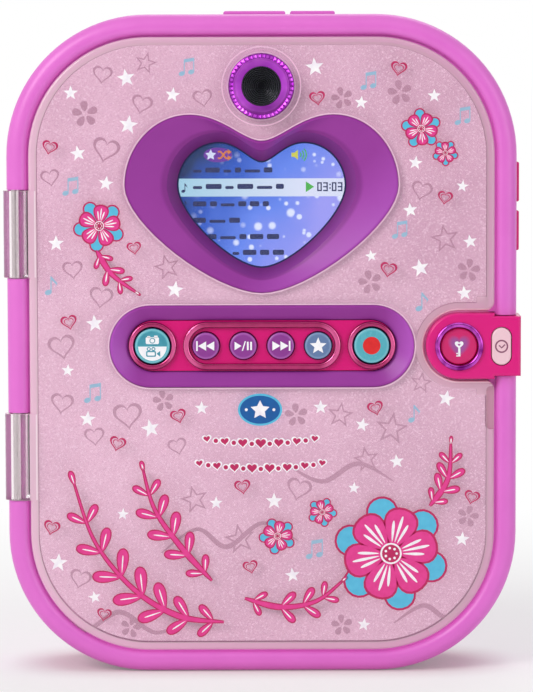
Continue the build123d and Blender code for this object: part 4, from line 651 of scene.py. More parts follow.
# Each outlined heart's place, width and turn.
LINED_HEARTS = [
    (-70.3, 175.9, 5.3, -14), (-53.2, 19.4, 5.0, -10), (45.5, 201.7, 5.5, -10), (37.9, 88.7, 5.4, 15),
    (18.6, 192.0, 5.3, 8), (-48.4, 77.0, 5.6, -14), (-27.9, 86.2, 5.4, 15), (-64.2, 117.7, 5.5, 12),
    (-4.0, 35.4, 5.1, 12), (-70.6, 48.8, 5.6, -14), (60.9, 158.9, 5.1, -10), (70.0, 58.7, 5.3, -14),
    (-6.6, 62.4, 5.5, 8), (42.1, 135.0, 5.7, -10), (-42.4, 142.4, 4.9, 8),
]
lined = bmesh.new()
ink_front, ink_back = LID_FRONT_Y - INK_STEP, LID_FRONT_Y + TINY_OVERLAP
for x, z, width, turn in LINED_HEARTS:
    band(lined, heart_loop(x, z, width, turn), heart_loop(x, z, width * 0.76, turn), ink_front, ink_back)
    band(lined, heart_loop(x, z, width * 0.6, turn), heart_loop(x, z, width * 0.5, turn), ink_front, ink_back)
piece("lined_heart_prints", lined, "lid", crimson_ink)

# Each note's place and size, and whether it is a pair of notes under one beam.
NOTES = [
    (44.3, 146.3, 0.91, True), (15.6, 39.1, 1.02, True), (-65.1, 160.9, 0.95, True),
    (49.8, 84.9, 0.97, False), (-26.3, 200.4, 0.91, True), (-58.3, 91.8, 1.01, True),
    (33.9, 195.7, 0.93, True), (65.1, 184.0, 0.93, True), (52.3, 122.2, 1.04, False),
    (-71.1, 127.9, 1.03, False),
]
heads, stems, beams = [], [], []
for x, z, size, paired in NOTES:
    for step in range(2 if paired else 1):
        left = x + step * 3.4 * size
        rise = step * 0.6 * size
        heads.append(oval_loop(left, z + rise, 2.3 * size, 1.7 * size, 20))
        right = left + 1.05 * size
        stems.append([
            (right - 0.32 * size, z + rise), (right + 0.05 * size, z + rise),
            (right + 0.05 * size, z + rise + 5.2 * size), (right - 0.32 * size, z + rise + 5.2 * size),
        ])
    right, top = x + 1.05 * size, z + 5.2 * size
    if paired:
        far = right + 3.4 * size
        beams.append([
            (right - 0.32 * size, top - 1.2 * size), (far + 0.05 * size, top - 0.6 * size),
            (far + 0.05 * size, top + 0.6 * size), (right - 0.32 * size, top),
        ])
    else:
        beams.append([
            (right, top), (right, top - 1.1 * size), (right + 1.5 * size, top - 2.6 * size),
            (right + 1.1 * size, top - 3.6 * size), (right + 2.0 * size, top - 2.3 * size),
        ])
lid_print("note_head_prints", heads, 1, pale_blue_ink)
lid_print("note_stem_prints", stems, 2, pale_blue_ink)
lid_print("note_beam_prints", beams, 3, pale_blue_ink)

# Each spray's stem, the length of its longest leaves and its pairs of leaves.
SPRAYS = [
    ([(-13, 17), (-28, 19), (-43, 28), (-56, 44), (-63, 64)], 10.0, 7),
    ([(-17, 31), (-27, 42), (-36, 55), (-40, 69)], 8.5, 5),
    ([(-6, 25), (6, 22), (18, 24), (27, 31)], 7.0, 4),
    ([(56, 56), (62, 65), (63, 77)], 6.5, 4),
    ([(-55, 142), (-50, 134), (-42, 128)], 5.5, 3),
]
LEAF_SPREAD = 46
leaf_edges, leaf_fills, leaf_veins = [], [], []
stem_edges, stem_fills = bmesh.new(), bmesh.new()
for knots, leaf_length, pairs in SPRAYS:
    line = smooth_line(knots)
    shares = [step / (len(line) - 1) for step in range(len(line))]
    taper = [0.25 + 1.9 * min(1.0, 4 * share) * (1 - share) for share in shares]
    stroke(stem_edges, line, [w + 0.7 for w in taper], ink_front, ink_back)
    stroke(stem_fills, line, taper, ink_front - 3 * INK_STEP, ink_back)
    for pair in range(pairs + 1):
        spot = (len(line) - 2) * (pair + 0.6) / (pairs + 0.6)
        x, z = line[int(spot)]
        ahead = line[int(spot) + 1]
        heading = math.degrees(math.atan2(ahead[1] - z, ahead[0] - x))
        length = leaf_length * (0.62 + 0.38 * math.sin(math.pi * (pair + 0.5) / pairs))
        for side in ((-1, 1) if pair < pairs else (0,)):
            aim = heading + side * LEAF_SPREAD
            leaf_edges.append(petal_loop(x, z, length, length * 0.5, aim, 0.3))
            leaf_fills.append(petal_loop(x, z, length - 0.9, length * 0.5 - 0.9, aim, 0.75))
            leaf_veins.append(petal_loop(x, z, length * 0.62, 0.5, aim, length * 0.16))
piece("spray_stem_edges", stem_edges, "lid", crimson_ink)
piece("spray_stems", stem_fills, "lid", pink_ink)
lid_print("spray_leaf_edges", leaf_edges, 2, crimson_ink)
lid_print("spray_leaves", leaf_fills, 3, pink_ink)
lid_print("spray_leaf_veins", leaf_veins, 4, white_ink)

# Each flower's place, its reach, its count of petals and its turn.
FLOWERS = [
    (43, 40, 20.0, 6, 12), (-54, 150, 9.0, 5, 10), (53, 182, 7.0, 5, -12), (61, 174, 4.6, 5, 20),
    (5, 46, 6.5, 5, 6), (20, 54, 5.2, 5, 30),
]
flower_layers = [[] for layer in range(7)]
for x, z, reach, count, turn in FLOWERS:
    rim = 0.35 + 0.02 * reach
    for step in range(count):
        under = turn + 360 * (step + 0.5) / count
        over = turn + 360 * step / count
        long, wide = reach * 0.84, reach * 0.62
        flower_layers[0].append(petal_loop(x, z, long, wide, under, reach * 0.14))
        flower_layers[1].append(petal_loop(x, z, long - 2 * rim, wide - 2 * rim, under, reach * 0.14 + rim))
        long, wide = reach * 0.7, reach * 0.66
        flower_layers[2].append(petal_loop(x, z, long, wide, over, reach * 0.1))
        flower_layers[3].append(petal_loop(x, z, long - 2 * rim, wide - 2 * rim, over, reach * 0.1 + rim))
        for fan, share in ((-13, 0.36), (0, 0.46), (13, 0.36)):
            flower_layers[4].append(petal_loop(x, z, reach * share, reach * 0.055, over + fan, reach * 0.2))
    flower_layers[4].append(oval_loop(x, z, reach * 0.36, reach * 0.36))
    flower_layers[5].append(oval_loop(x, z, reach * 0.3, reach * 0.3))
    for step in range(7):
        angle = 2 * math.pi * step / 7
        ring = reach * 0.095
        dot = reach * 0.045
        flower_layers[6].append(oval_loop(x + ring * math.cos(angle), z + ring * math.sin(angle), dot, dot, 0, 10))
flower_inks = (crimson_ink, blue_ink, crimson_ink, pink_ink, white_ink, crimson_ink, white_ink)
flower_names = ("back_edges", "back_petals", "front_edges", "front_petals", "veins", "eyes", "eye_dots")
for layer, (name, loops, ink) in enumerate(zip(flower_names, flower_layers, flower_inks)):
    lid_print("flower_" + name, loops, 1 + layer, ink)

# An oval with a star, and two hanging rows of hearts and dots edged in white.
OVAL_X, OVAL_Z = -0.7, 88.5
deep_blue_ink = printed_ink("deep_blue_ink", srgb(0, 92, 164), srgb(0, 84, 154))
lid_print("oval_rim", [oval_loop(OVAL_X, OVAL_Z, 14.8, 10.8, 0, 48)], 1, blue_ink)
lid_print("oval_field", [oval_loop(OVAL_X, OVAL_Z, 13.4, 9.4, 0, 48)], 2, deep_blue_ink)
lid_print("oval_star", [star_loop(OVAL_X, OVAL_Z - 0.1, 3.3, 0, 5, 0.5)], 3, white_ink)
lid_print("oval_dots", [oval_loop(OVAL_X + side * 4.6, OVAL_Z, 1.0, 1.0, 0, 16) for side in (-1, 1)], 3, white_ink)
# Each row's middle height, its sag, its half length, and its count of marks.
GARLANDS = [(78.6, 1.6, 18.0, 13), (70.4, 1.8, 20.5, 15)]
garland_rims, garland_marks = [], []
for z, sag, reach, count in GARLANDS:
    for step in range(count):
        share = 2 * step / (count - 1) - 1
        x, height = share * reach - 0.5, z - sag * (1 - share**2)
        if step % 2:
            garland_rims.append(oval_loop(x, height, 2.3, 2.3, 0, 18))
            garland_marks.append(oval_loop(x, height, 1.5, 1.5, 0, 18))
        else:
            size = 4.6 - 1.3 * abs(share)
            garland_rims.append(heart_loop(x, height, size, -8 * share))
            garland_marks.append(heart_loop(x, height + 0.05, size - 1.1, -8 * share))
lid_print("garland_rims", garland_rims, 1, white_ink)
lid_print("garland_marks", garland_marks, 2, crimson_ink)

# ---------------------------------------------------------------- faint motifs under the plate
# A second, fainter print in grey mauve on the glitter sheet itself, seen through the clear plate.
FAINT_MAUVE = srgb(180, 138, 160)
GLITTER_FRONT_Y = -19.45

faint_ink = printed_ink("faint_mauve_ink", FAINT_MAUVE, srgb(186, 144, 166))
# Each faint motif's kind, place, size and turn.
FAINT_MOTIFS = [
    ("heart", -39.8, 190.0, 3.1, -14), ("flower", 46.0, 194.0, 3.3, 10), ("star", 34.8, 71.4, 3.8, 10),
    ("flower", -58.6, 187.1, 3.5, 6), ("star", 61.1, 145.3, 4.2, 10), ("flower", 26.8, 192.2, 2.9, 14),
    ("heart", -19.4, 192.0, 2.9, 10), ("star", 43.3, 81.7, 4.8, -8), ("star", -7.6, 44.6, 4.5, 10),
    ("flower", 69.0, 134.8, 3.1, -8), ("heart", 12.1, 61.1, 3.7, -14), ("heart", -67.0, 90.2, 3.4, -8),
    ("heart", -63.0, 135.0, 3.0, 6), ("heart", -56.1, 79.1, 3.0, 6), ("heart", -66.8, 109.1, 4.0, 10),
    ("heart", -44.9, 85.9, 4.3, 6), ("flower", 68.9, 52.1, 2.9, -14), ("heart", -51.9, 174.8, 4.0, -14),
    ("star", -38.4, 203.9, 3.2, -14), ("star", -22.7, 58.0, 4.1, 14), ("flower", 36.1, 130.9, 3.2, 14),
    ("star", 53.2, 97.1, 3.2, -8), ("heart", 53.2, 161.1, 3.1, -14), ("heart", -61.3, 31.0, 3.2, -14),
    ("star", -31.6, 136.0, 3.8, 14), ("heart", -28.3, 75.7, 2.8, 14), ("heart", -52.8, 199.9, 2.9, -8),
    ("flower", -44.4, 14.8, 2.8, -14), ("star", 26.1, 86.4, 3.8, -8), ("flower", -33.0, 91.3, 2.9, 10),
    ("heart", -70.3, 165.7, 2.8, 10), ("flower", 11.4, 86.4, 3.1, 6), ("heart", -53.7, 125.7, 3.5, -8),
    ("flower", 26.6, 15.4, 2.9, 6),
]
FAINT_WAVES = [
    [(-70, 22), (-60, 14), (-48, 20), (-36, 13), (-24, 18)], [(-34, 40), (-22, 48), (-12, 42), (0, 50), (12, 44)],
    [(8, 70), (20, 64), (32, 70), (44, 64)], [(44, 16), (54, 22), (62, 18), (70, 26)],
]
faint = bmesh.new()
front, back = GLITTER_FRONT_Y - INK_STEP, GLITTER_FRONT_Y + TINY_OVERLAP
for kind, x, z, size, turn in FAINT_MOTIFS:
    if kind == "heart":
        band(faint, heart_loop(x, z, 2.3 * size, turn), heart_loop(x, z, 1.8 * size, turn), front, back)
    elif kind == "star":
        band(faint, star_loop(x, z, 1.2 * size, turn), star_loop(x, z, 0.84 * size, turn), front, back)
    else:
        for step in range(5):
            slab(faint, petal_loop(x, z, size, size * 0.8, turn + 72 * step + 18, size * 0.25), front, back)
for knots in FAINT_WAVES:
    line = smooth_line(knots)
    swell = [0.3 + 1.4 * math.sin(math.pi * step / (len(line) - 1)) for step in range(len(line))]
    stroke(faint, line, swell, front - 0.01, back)
piece("faint_mauve_prints", faint, "lid", faint_ink)

# ---------------------------------------------------------------- edges of the lid's windows
# The clear plate's cut-outs for the heart, the pill and the camera get a thin pale band on the
# front, a painted highlight for the light that their polished edge catches. Behind, a pale lip of
# the bonding film reaches past the sheet; its colour is painted light that fills the shade in the gap.
HEART_WINDOW = (45.4, 23.9, 23.4, 14.7, 35.7)
HEART_WINDOW_Z = 163.3
PILL_HALF_WIDTH = 50.75
PILL_HALF_HEIGHT = 13.65
LENS_AXIS_Z = 196.2
LENS_HOLE_R = 10.8
COLLAR_R = 13.3
COLLAR_FRONT_Y = -23.1
CUT_GAP = 0.5
GLINT_OUT = 0.12
GLINT_IN = 0.34
SHEET_GAP = 1.5
PLATE_BACK_Y = -19.5


def curve_points(knots, steps=16):
    """Points on a Bezier curve, without its last one."""
    points = []
    for step in range(steps):
        t = step / steps
        level = knots
        while len(level) > 1:
            level = [tuple((1 - t) * p + t * q for p, q in zip(a, b)) for a, b in zip(level, level[1:])]
        points.append(level[0])
    return points


def heart_outline(sizes, grow, centre_z):
    """The casing's heart: half width, lobe place, rise, notch and drop, all grown by a margin."""
    half, lobe, up, notch, down = sizes
    half, up, notch, down = half + grow, up + grow, notch + grow, down + grow
    shoulder = lobe + 0.55 * (half - lobe)
    right = [
        *curve_points([(0, notch), (0.25 * lobe, notch), (0.55 * lobe, up), (lobe, up)]),
        *curve_points([(lobe, up), (shoulder, up), (half, 0.55 * up), (half, 0)]),
        *curve_points([(half, 0), (half, -0.36 * down), (0.34 * half, -down), (0, -down)]),
        (0, -down),
    ]
    left = [(-x, z) for x, z in right[-2:0:-1]]
    return [(x, z + centre_z) for x, z in right + left]


def pill_outline(grow, steps=24):
    radius, run = PILL_HALF_HEIGHT + grow, PILL_HALF_WIDTH - PILL_HALF_HEIGHT
    turns = [math.pi * step / steps - math.pi / 2 for step in range(steps + 1)]
    right = [(run + radius * math.cos(a), radius * math.sin(a)) for a in turns]
    left = [(-x, -z) for x, z in right]
    return [(x, ROW_Z + z) for x, z in right + left]


def hole_outline(grow):
    return oval_loop(0, LENS_AXIS_Z, 2 * (LENS_HOLE_R + grow), 2 * (LENS_HOLE_R + grow), 0, 72)


window_outlines = {
    "heart_window": lambda grow: heart_outline(HEART_WINDOW, grow, HEART_WINDOW_Z),
    "pill_window": pill_outline,
    "camera_window": hole_outline,
}
edge_glint = printed_ink("cut_edge_painted_highlight", srgb(238, 198, 222), srgb(230, 186, 212))
lip_painted_light_finish = printed_ink("gap_lip_painted_light", srgb(234, 198, 218), srgb(228, 190, 212))
for name, outline in window_outlines.items():
    line_front = COLLAR_FRONT_Y if name == "camera_window" else LID_FRONT_Y
    glint = bmesh.new()
    inner, outer = outline(CUT_GAP - GLINT_IN), outline(CUT_GAP + GLINT_OUT)
    band(glint, outer, inner, line_front - INK_STEP, line_front + TINY_OVERLAP)
    piece(name + "_edge", glint, "lid", edge_glint).visible_shadow = False
    lip = bmesh.new()
    band(lip, outline(SHEET_GAP - 0.02), outline(CUT_GAP + 0.02), PLATE_BACK_Y + 0.01, PLATE_BACK_Y + 0.6)
    piece(name + "_film_lip", lip, "lid", lip_painted_light_finish)
# The lens collar's outer edge gets the same painted highlight ring.
collar_line = bmesh.new()
band(
    collar_line, hole_outline(COLLAR_R - LENS_HOLE_R - 0.05), hole_outline(COLLAR_R - LENS_HOLE_R - 0.45),
    COLLAR_FRONT_Y - INK_STEP, COLLAR_FRONT_Y + TINY_OVERLAP,
)
piece("collar_painted_highlight", collar_line, "lid", edge_glint).visible_shadow = False

# ---------------------------------------------------------------- heart and pill bezels
# Two funnels in satin purple ABS, glued to the console, that lead down to the screen and to the
# button row through the lid's cut-outs.
BEZEL_PURPLE = srgb(158, 62, 160)
BEZEL_PURPLE_DEEP = srgb(144, 52, 148)
BEZEL_SHADE = srgb(112, 34, 116)
BEZEL_GLEAM = srgb(196, 100, 214)
BEZEL_RIM_Y = -19.4
BEZEL_FOOT_Y = -15.0

bezel = moulded("bezel_satin", BEZEL_PURPLE, BEZEL_PURPLE_DEEP, 0.34, grain=0.3, depth=0.01)
bezel.feed("Specular IOR Level", 0.22)
# Painted shade: the funnels darken with depth, most just below the rim. Painted highlights: a paler violet gleam at
# the pill's ends and at the heart's lower right.
step_down = bezel.ramp(bezel.axis("Y"), BEZEL_RIM_Y + 0.1, BEZEL_RIM_Y + 0.4)
painted_depth_shade = bezel.ramp(bezel.axis("Y"), BEZEL_RIM_Y, BEZEL_FOOT_Y) * 0.55 + step_down * 0.45
in_row = bezel.ramp(abs(bezel.axis("Z") - ROW_Z), 15.5, 14.5)
row_end = bezel.ramp(abs(bezel.axis("X")), 41.0, 50.0) * in_row
lower_right = bezel.ramp(bezel.axis("X") - bezel.axis("Z") + HEART_WINDOW_Z, 26.0, 52.0) * (1.0 - in_row)
gleam = bezel.mix(row_end * 0.55 + lower_right * 0.4, bezel.tint, BEZEL_GLEAM)
bezel.feed("Base Color", bezel.mix(painted_depth_shade, gleam, BEZEL_SHADE))
dress(bezel, "heart_bezel", "button_bezel")

# ---------------------------------------------------------------- screen
# A lit colour display behind a clear window. The picture is a soft blue sky of light spots, with
# a list of six rows whose second row is picked, three status icons and a running time.
SCREEN_LEFT = -29.0
SCREEN_RIGHT = 29.0
SCREEN_DARK = srgb(20, 50, 96)
SCREEN_DEEP = srgb(28, 84, 188)
SCREEN_MID = srgb(100, 136, 234)
SCREEN_PALE = srgb(160, 158, 240)
SPOT_WHITE = srgb(228, 234, 255)
SPOT_SIZES = (5.4, 3.2)
LIGHT_STRENGTH = 1.12
PICTURE_Y = -12.95
LIGHT_STEP = 0.008

glow = Finish("lit_display", Roughness=0.4)
across = glow.ramp(glow.axis("X"), SCREEN_LEFT, SCREEN_RIGHT)
down = glow.ramp(glow.axis("Z"), 180.0, 136.0)
blend_share = across * 0.85 + down * 0.4 + glow.noise(14.0) * 0.3 - 0.32
picture = glow.node(
    "ShaderNodeValToRGB", {"stops": [(0.0, SCREEN_DARK), (0.2, SCREEN_DEEP), (0.5, SCREEN_MID), (0.82, SCREEN_PALE)]},
    {0: blend_share},
)
for size in SPOT_SIZES:
    texture = {"Vector": glow.mm, "Scale": 1 / size}
    gap = glow.node("ShaderNodeTexVoronoi", {}, texture)
    rank = glow.node("ShaderNodeSeparateXYZ", {}, {0: glow.node("ShaderNodeTexVoronoi", {}, texture, "Color")}, "X")
    disc = glow.ramp(gap - (rank * 0.2 + 0.08), 0.08, -0.06)
    shown = disc * (rank > 0.3) * glow.ramp(across + down * 0.5, 0.3, 0.8)
    picture = glow.mix(shown, picture, SPOT_WHITE)
glow.feed("Base Color", srgb(6, 8, 14))
glow.feed("Emission Color", picture)
glow.feed("Emission Strength", LIGHT_STRENGTH)
dress(glow, "lcd_module")

window = Finish("screen_window_clear", Roughness=0.1)
window.feed("Base Color", window.mix(window.noise(8.0), srgb(235, 238, 250), srgb(245, 246, 255)))
pass_through = window.node("ShaderNodeBsdfTransparent", {}, {"Color": srgb(246, 247, 252)})
mirror = window.node("ShaderNodeBsdfGlossy", {}, {"Color": (1, 1, 1, 1), "Roughness": 0.05})
outside = 1.0 - window.node("ShaderNodeNewGeometry", {}, {}, "Backfacing")
turn_away = window.node("ShaderNodeFresnel", {}, {"IOR": ACRYLIC_IOR}) * outside
pane = window.node("ShaderNodeMixShader", {}, {0: turn_away, 1: pass_through, 2: mirror})
face = window.node("ShaderNodeMixShader", {}, {0: 0.02, 1: pane, 2: Value(window, window.shader.outputs[0])})
window.join(face, window.tree.nodes["Material Output"].inputs["Surface"])
dress(window, "screen_window")

# A dark band runs round the window, just inside the funnel: painted shade, the funnel's shadow on the lit screen.
HEART_SCREEN = (28.3, 14.2, 14.6, 8.2, 27.6)
HEART_SCREEN_Z = 163.0
WINDOW_FRONT_Y = -14.2
EDGE_SHADE_WIDTH = 0.55

window_shade_finish = printed_ink("screen_edge_painted_shade", srgb(18, 20, 74), srgb(26, 26, 86))
edge = bmesh.new()
band(
    edge, heart_outline(HEART_SCREEN, 0.1, HEART_SCREEN_Z),
    heart_outline(HEART_SCREEN, -EDGE_SHADE_WIDTH, HEART_SCREEN_Z),
    WINDOW_FRONT_Y - INK_STEP, WINDOW_FRONT_Y + TINY_OVERLAP,
)
piece("window_edge_shade_band", edge, "base", window_shade_finish)

# ---------------------------------------------------------------- picture on the screen
# Flat lit marks just in front of the display: bars in place of words, a note at the head of each
# row, a play mark with a running time on the picked row, and a star, a shuffle mark and a
# loudspeaker above the list.
PICKED_ROW_Z = 162.3
PICKED_ROW_HEIGHT = 6.0
ROW_INDENT_X = -23.0
WORD_HEIGHT = 1.0
WORD_GAP = 1.2
NAVY = srgb(22, 34, 92)
ROW_CYAN = srgb(172, 220, 234)
WHITE_LIGHT = srgb(236, 240, 255)


def lit_ink(name, colour, second, strength=0.9):
    """A patch of the display that glows in one colour."""
    ink = Finish(name, Roughness=0.5)
    ink.feed("Base Color", srgb(8, 8, 12))
    ink.feed("Emission Color", ink.mix(ink.noise(3.0), colour, second))
    ink.feed("Emission Strength", strength)
    return ink


def screen_mark(name, loops, layer, finish):
    shape = bmesh.new()
    for loop in loops:
        slab(shape, loop, PICTURE_Y - LIGHT_STEP * layer, PICTURE_Y - LIGHT_STEP * (layer - 1) + TINY_OVERLAP)
    return piece(name, shape, "base", finish)


def bar_loop(x0, x1, z0, z1, corner=0.0):
    """A rectangle whose corners may be cut."""
    if not corner:
        return [(x0, z0), (x1, z0), (x1, z1), (x0, z1)]
    return [
        (x0 + corner, z0), (x1 - corner, z0), (x1, z0 + corner), (x1, z1 - corner),
        (x1 - corner, z1), (x0 + corner, z1), (x0, z1 - corner), (x0, z0 + corner),
    ]


def note_loops(x, z, size):
    return [
        oval_loop(x, z, 1.5 * size, 1.1 * size, 20, 14),
        bar_loop(x + 0.45 * size, x + 0.75 * size, z, z + 2.9 * size),
    ], [(x + 0.75 * size, z + 2.9 * size), (x + 0.75 * size, z + 2.1 * size), (x + 1.7 * size, z + 1.2 * size)]


def digit_loops(character, x, z, height):
    """A numeral built of straight segments."""
    lit = {"0": "abcdef", "1": "bc", "2": "abged", "3": "abgcd", "4": "fgbc", "5": "afgcd"}[character]
    width, thick, half = height * 0.52, height * 0.15, height / 2
    spots = {
        "a": (0, width, height - thick, height), "d": (0, width, 0, thick),
        "g": (0, width, half - thick / 2, half + thick / 2),
        "f": (0, thick, half, height), "b": (width - thick, width, half, height),
        "e": (0, thick, 0, half), "c": (width - thick, width, 0, half),
    }
    return [bar_loop(x + a, x + b, z + c, z + d) for a, b, c, d in (spots[name] for name in lit)]


navy_light = lit_ink("navy_light", NAVY, srgb(30, 46, 112), 0.8)
white_light = lit_ink("white_light", WHITE_LIGHT, srgb(226, 232, 252), 1.0)
green_light = lit_ink("green_light", srgb(70, 190, 60), srgb(90, 205, 80))
yellow_light = lit_ink("yellow_light", srgb(246, 226, 70), srgb(220, 232, 90))
orange_light = lit_ink("orange_light", srgb(244, 150, 60), srgb(240, 130, 60))
magenta_light = lit_ink("magenta_light", srgb(126, 44, 168), srgb(112, 50, 172))

row_light = lit_ink("picked_row_light", WHITE_LIGHT, WHITE_LIGHT, 1.0)
row_light.feed("Emission Color", row_light.mix(row_light.ramp(row_light.axis("X"), -28, 14), ROW_CYAN, WHITE_LIGHT))
screen_mark(
    "picked_row", [bar_loop(-28.2, 28.2, PICKED_ROW_Z - PICKED_ROW_HEIGHT / 2, PICKED_ROW_Z + PICKED_ROW_HEIGHT / 2)],
    1, row_light,
)
words = random.Random(4)
word_loops, note_parts, note_flags = [], [], []
for row_z, row_end in ((167.8, 5.5), (PICKED_ROW_Z, 8.5), (156.5, 4.0), (151.0, -6.0), (145.5, 6.0), (140.2, 9.0)):
    parts, flag = note_loops(-26.2, row_z - 1.2, 0.9)
    note_parts += parts
    note_flags.append(flag)
    x = ROW_INDENT_X
    while x < row_end - 1:
        length = min(words.uniform(2.0, 6.0), row_end - x)
        rise = words.choice((0.0, 0.7))
        word_loops.append(bar_loop(x, x + length, row_z - WORD_HEIGHT / 2, row_z + WORD_HEIGHT / 2 + rise, 0.3))
        x += length + WORD_GAP
screen_mark("list_word_bars", word_loops, 2, navy_light)
screen_mark("list_note_marks", note_parts, 3, navy_light)
screen_mark("list_note_flags", note_flags, 4, navy_light)
screen_mark("play_mark", [[(14.8, 160.7), (17.6, 162.5), (14.8, 164.3)]], 2, green_light)
clock_loops = []
for step, character in enumerate("0303"):
    clock_loops += digit_loops(character, 18.6 + 2.0 * step + (0.9 if step > 1 else 0.0), 161.0, 3.0)
clock_loops += [bar_loop(22.65, 23.15, z, z + 0.5) for z in (161.8, 163.0)]
screen_mark("running_time", clock_loops, 2, navy_light)
screen_mark("icon_glow", [oval_loop(-14.6, 173.2, 9.6, 4.9, 0, 32)], 1, magenta_light)
screen_mark("star_mark", [star_loop(-17.0, 173.2, 1.9, 0, 5, 0.5)], 2, white_light)
shuffle = bmesh.new()
for side in (-1, 1):
    line = smooth_line([(-14.6, 173.2 + side), (-13.6, 173.2 + side), (-12.0, 173.2 - side), (-11.2, 173.2 - side)], 4)
    depth = PICTURE_Y - LIGHT_STEP * (3 + side)
    stroke(shuffle, line, [0.55] * len(line), depth, depth + LIGHT_STEP)
    tip = [(-11.3, 174.1 - side), (-10.0, 173.2 - side), (-11.3, 172.3 - side)]
    slab(shuffle, tip, depth - TINY_OVERLAP, depth + LIGHT_STEP)
piece("shuffle_mark", shuffle, "base", orange_light)
speaker_x, speaker_z = 11.6, 173.2
screen_mark("loudspeaker_mark", [[
    (speaker_x - 1.6, speaker_z - 0.7), (speaker_x - 0.6, speaker_z - 0.7), (speaker_x + 0.6, speaker_z - 1.7),
    (speaker_x + 0.6, speaker_z + 1.7), (speaker_x - 0.6, speaker_z + 0.7), (speaker_x - 1.6, speaker_z + 0.7),
]], 2, yellow_light)
waves = bmesh.new()
for radius in (1.0, 1.9, 2.8):
    arc = [
        (speaker_x + 0.6 + radius * math.cos(a), speaker_z + radius * math.sin(a))
        for a in (math.radians(d) for d in range(-45, 46, 9))
    ]
    stroke(waves, arc, [0.4] * len(arc), PICTURE_Y - LIGHT_STEP, PICTURE_Y + TINY_OVERLAP)
piece("loudspeaker_waves", waves, "base", green_light)

# ---------------------------------------------------------------- key plate and trim rings
# A glossy magenta plate behind the pill bezel. Three trim rings stand on it, moulded in clear
# pink and plated at the back, so that they shine like tinted metal.
PLATE_MAGENTA = srgb(222, 14, 122)
RING_PINK = srgb(172, 18, 96)
RING_ROSE = srgb(188, 30, 108)
RING_GLEAM = srgb(232, 92, 158)
RING_FOOT_SHADE = srgb(104, 6, 58)
RING_FRONT_Y = -20.4
END_CAP_X = 36.6

gloss_magenta = moulded("gloss_magenta", PLATE_MAGENTA, srgb(212, 12, 114), 0.24, grain=0.8, depth=0.004)
gloss_magenta.feed("Specular IOR Level", 0.3)
dress(gloss_magenta, "key_plate")
ring_shine = Finish("plated_pink", Metallic=0.6)
ring_tint = ring_shine.mix(ring_shine.ramp(ring_shine.noise(3.0), 0.3, 0.7), RING_PINK, RING_ROSE)
# Painted light: the rings' curved ends are painted paler as highlights, and the rings darken towards their foot as
# painted shade.
from_end = abs(abs(ring_shine.axis("X")) - END_CAP_X)
painted_curve_highlight = ring_shine.ramp(from_end, 4.5, 6.8) * ring_shine.ramp(from_end, 17.0, 14.0)
painted_foot_shade = ring_shine.ramp(ring_shine.axis("Y"), RING_FRONT_Y + 0.05, RING_FRONT_Y + 0.28)
ring_light = ring_shine.mix(painted_curve_highlight * 0.8, ring_tint, RING_GLEAM)
ring_shine.feed("Base Color", ring_shine.mix(painted_foot_shade * 0.85, ring_light, RING_FOOT_SHADE))
ring_shine.feed("Roughness", ring_shine.noise(1.5) * 0.1 + 0.1)
ring_shine.feed("Coat Weight", 0.6)
ring_shine.bump(ring_shine.noise(2.0), 0.02)
dress(ring_shine, "photo_button_ring", "playback_ring", "record_button_ring")

# ---------------------------------------------------------------- buttons in the row
# Six round caps in gloss plastic with printed marks: turquoise at both ends, purple for playback
# and slate blue for the favourite mark. Each cap has a softly rounded front edge.
CAP_FRONT_Y = -20.4
TURQUOISE = srgb(92, 182, 196)
TEAL = srgb(56, 142, 162)
CAP_PURPLE = srgb(146, 58, 152)
CAP_SLATE = srgb(104, 130, 172)

END_CAP_R = 6.0
SMALL_CAP_R = 4.65
CAP_PITCH = 12.5
GAP_SHADE_NAVY = srgb(30, 44, 92)
GAP_SHADE_PLUM = srgb(88, 14, 84)


def rimmed(cap, from_middle, radius, rim, gap_shade):
    """Paints a lighter band on a cap's rounded rim, a painted highlight, and a dark line where it drops into its hole,
    painted shade in the gap.
    """
    up = cap.axis("Z") - ROW_Z
    out = (from_middle * from_middle + up * up).math_with("SQRT")
    rim_highlight = cap.ramp(out, radius - 1.1, radius - 0.55) * cap.ramp(out, radius - 0.25, radius - 0.45)
    with_rim_highlight = cap.mix(rim_highlight * 0.45, cap.tint, rim)
    cap.feed("Base Color", cap.mix(cap.ramp(out, radius - 0.3, radius - 0.1), with_rim_highlight, gap_shade))


turquoise_cap = moulded("turquoise_cap", TURQUOISE, srgb(80, 170, 186), 0.26, grain=0.8, depth=0.004)
rimmed(turquoise_cap, abs(turquoise_cap.axis("X")) - END_CAP_X, END_CAP_R, srgb(150, 214, 222), GAP_SHADE_NAVY)
dress(turquoise_cap, "photo_video_button", "record_button")
purple_cap = moulded("purple_cap", CAP_PURPLE, srgb(134, 48, 140), 0.26, grain=0.8, depth=0.004)
off_middle = abs(abs(purple_cap.axis("X") + 0.5 * CAP_PITCH) - 0.5 * CAP_PITCH) - 0.5 * CAP_PITCH
rimmed(purple_cap, off_middle, SMALL_CAP_R, srgb(196, 118, 206), GAP_SHADE_PLUM)
dress(purple_cap, "previous_button", "play_pause_button", "next_button")
slate_cap = moulded("slate_cap", CAP_SLATE, srgb(94, 120, 164), 0.26, grain=0.8, depth=0.004)
rimmed(slate_cap, slate_cap.axis("X") - 1.5 * CAP_PITCH, SMALL_CAP_R, srgb(150, 178, 214), GAP_SHADE_NAVY)
dress(slate_cap, "favourite_button")
white_mark = printed_ink("white_mark_ink", srgb(252, 252, 254), srgb(242, 242, 248))
teal_mark = printed_ink("teal_mark_ink", TEAL, srgb(70, 158, 178))
red_mark = printed_ink("red_mark_ink", srgb(228, 34, 36), srgb(212, 26, 30))


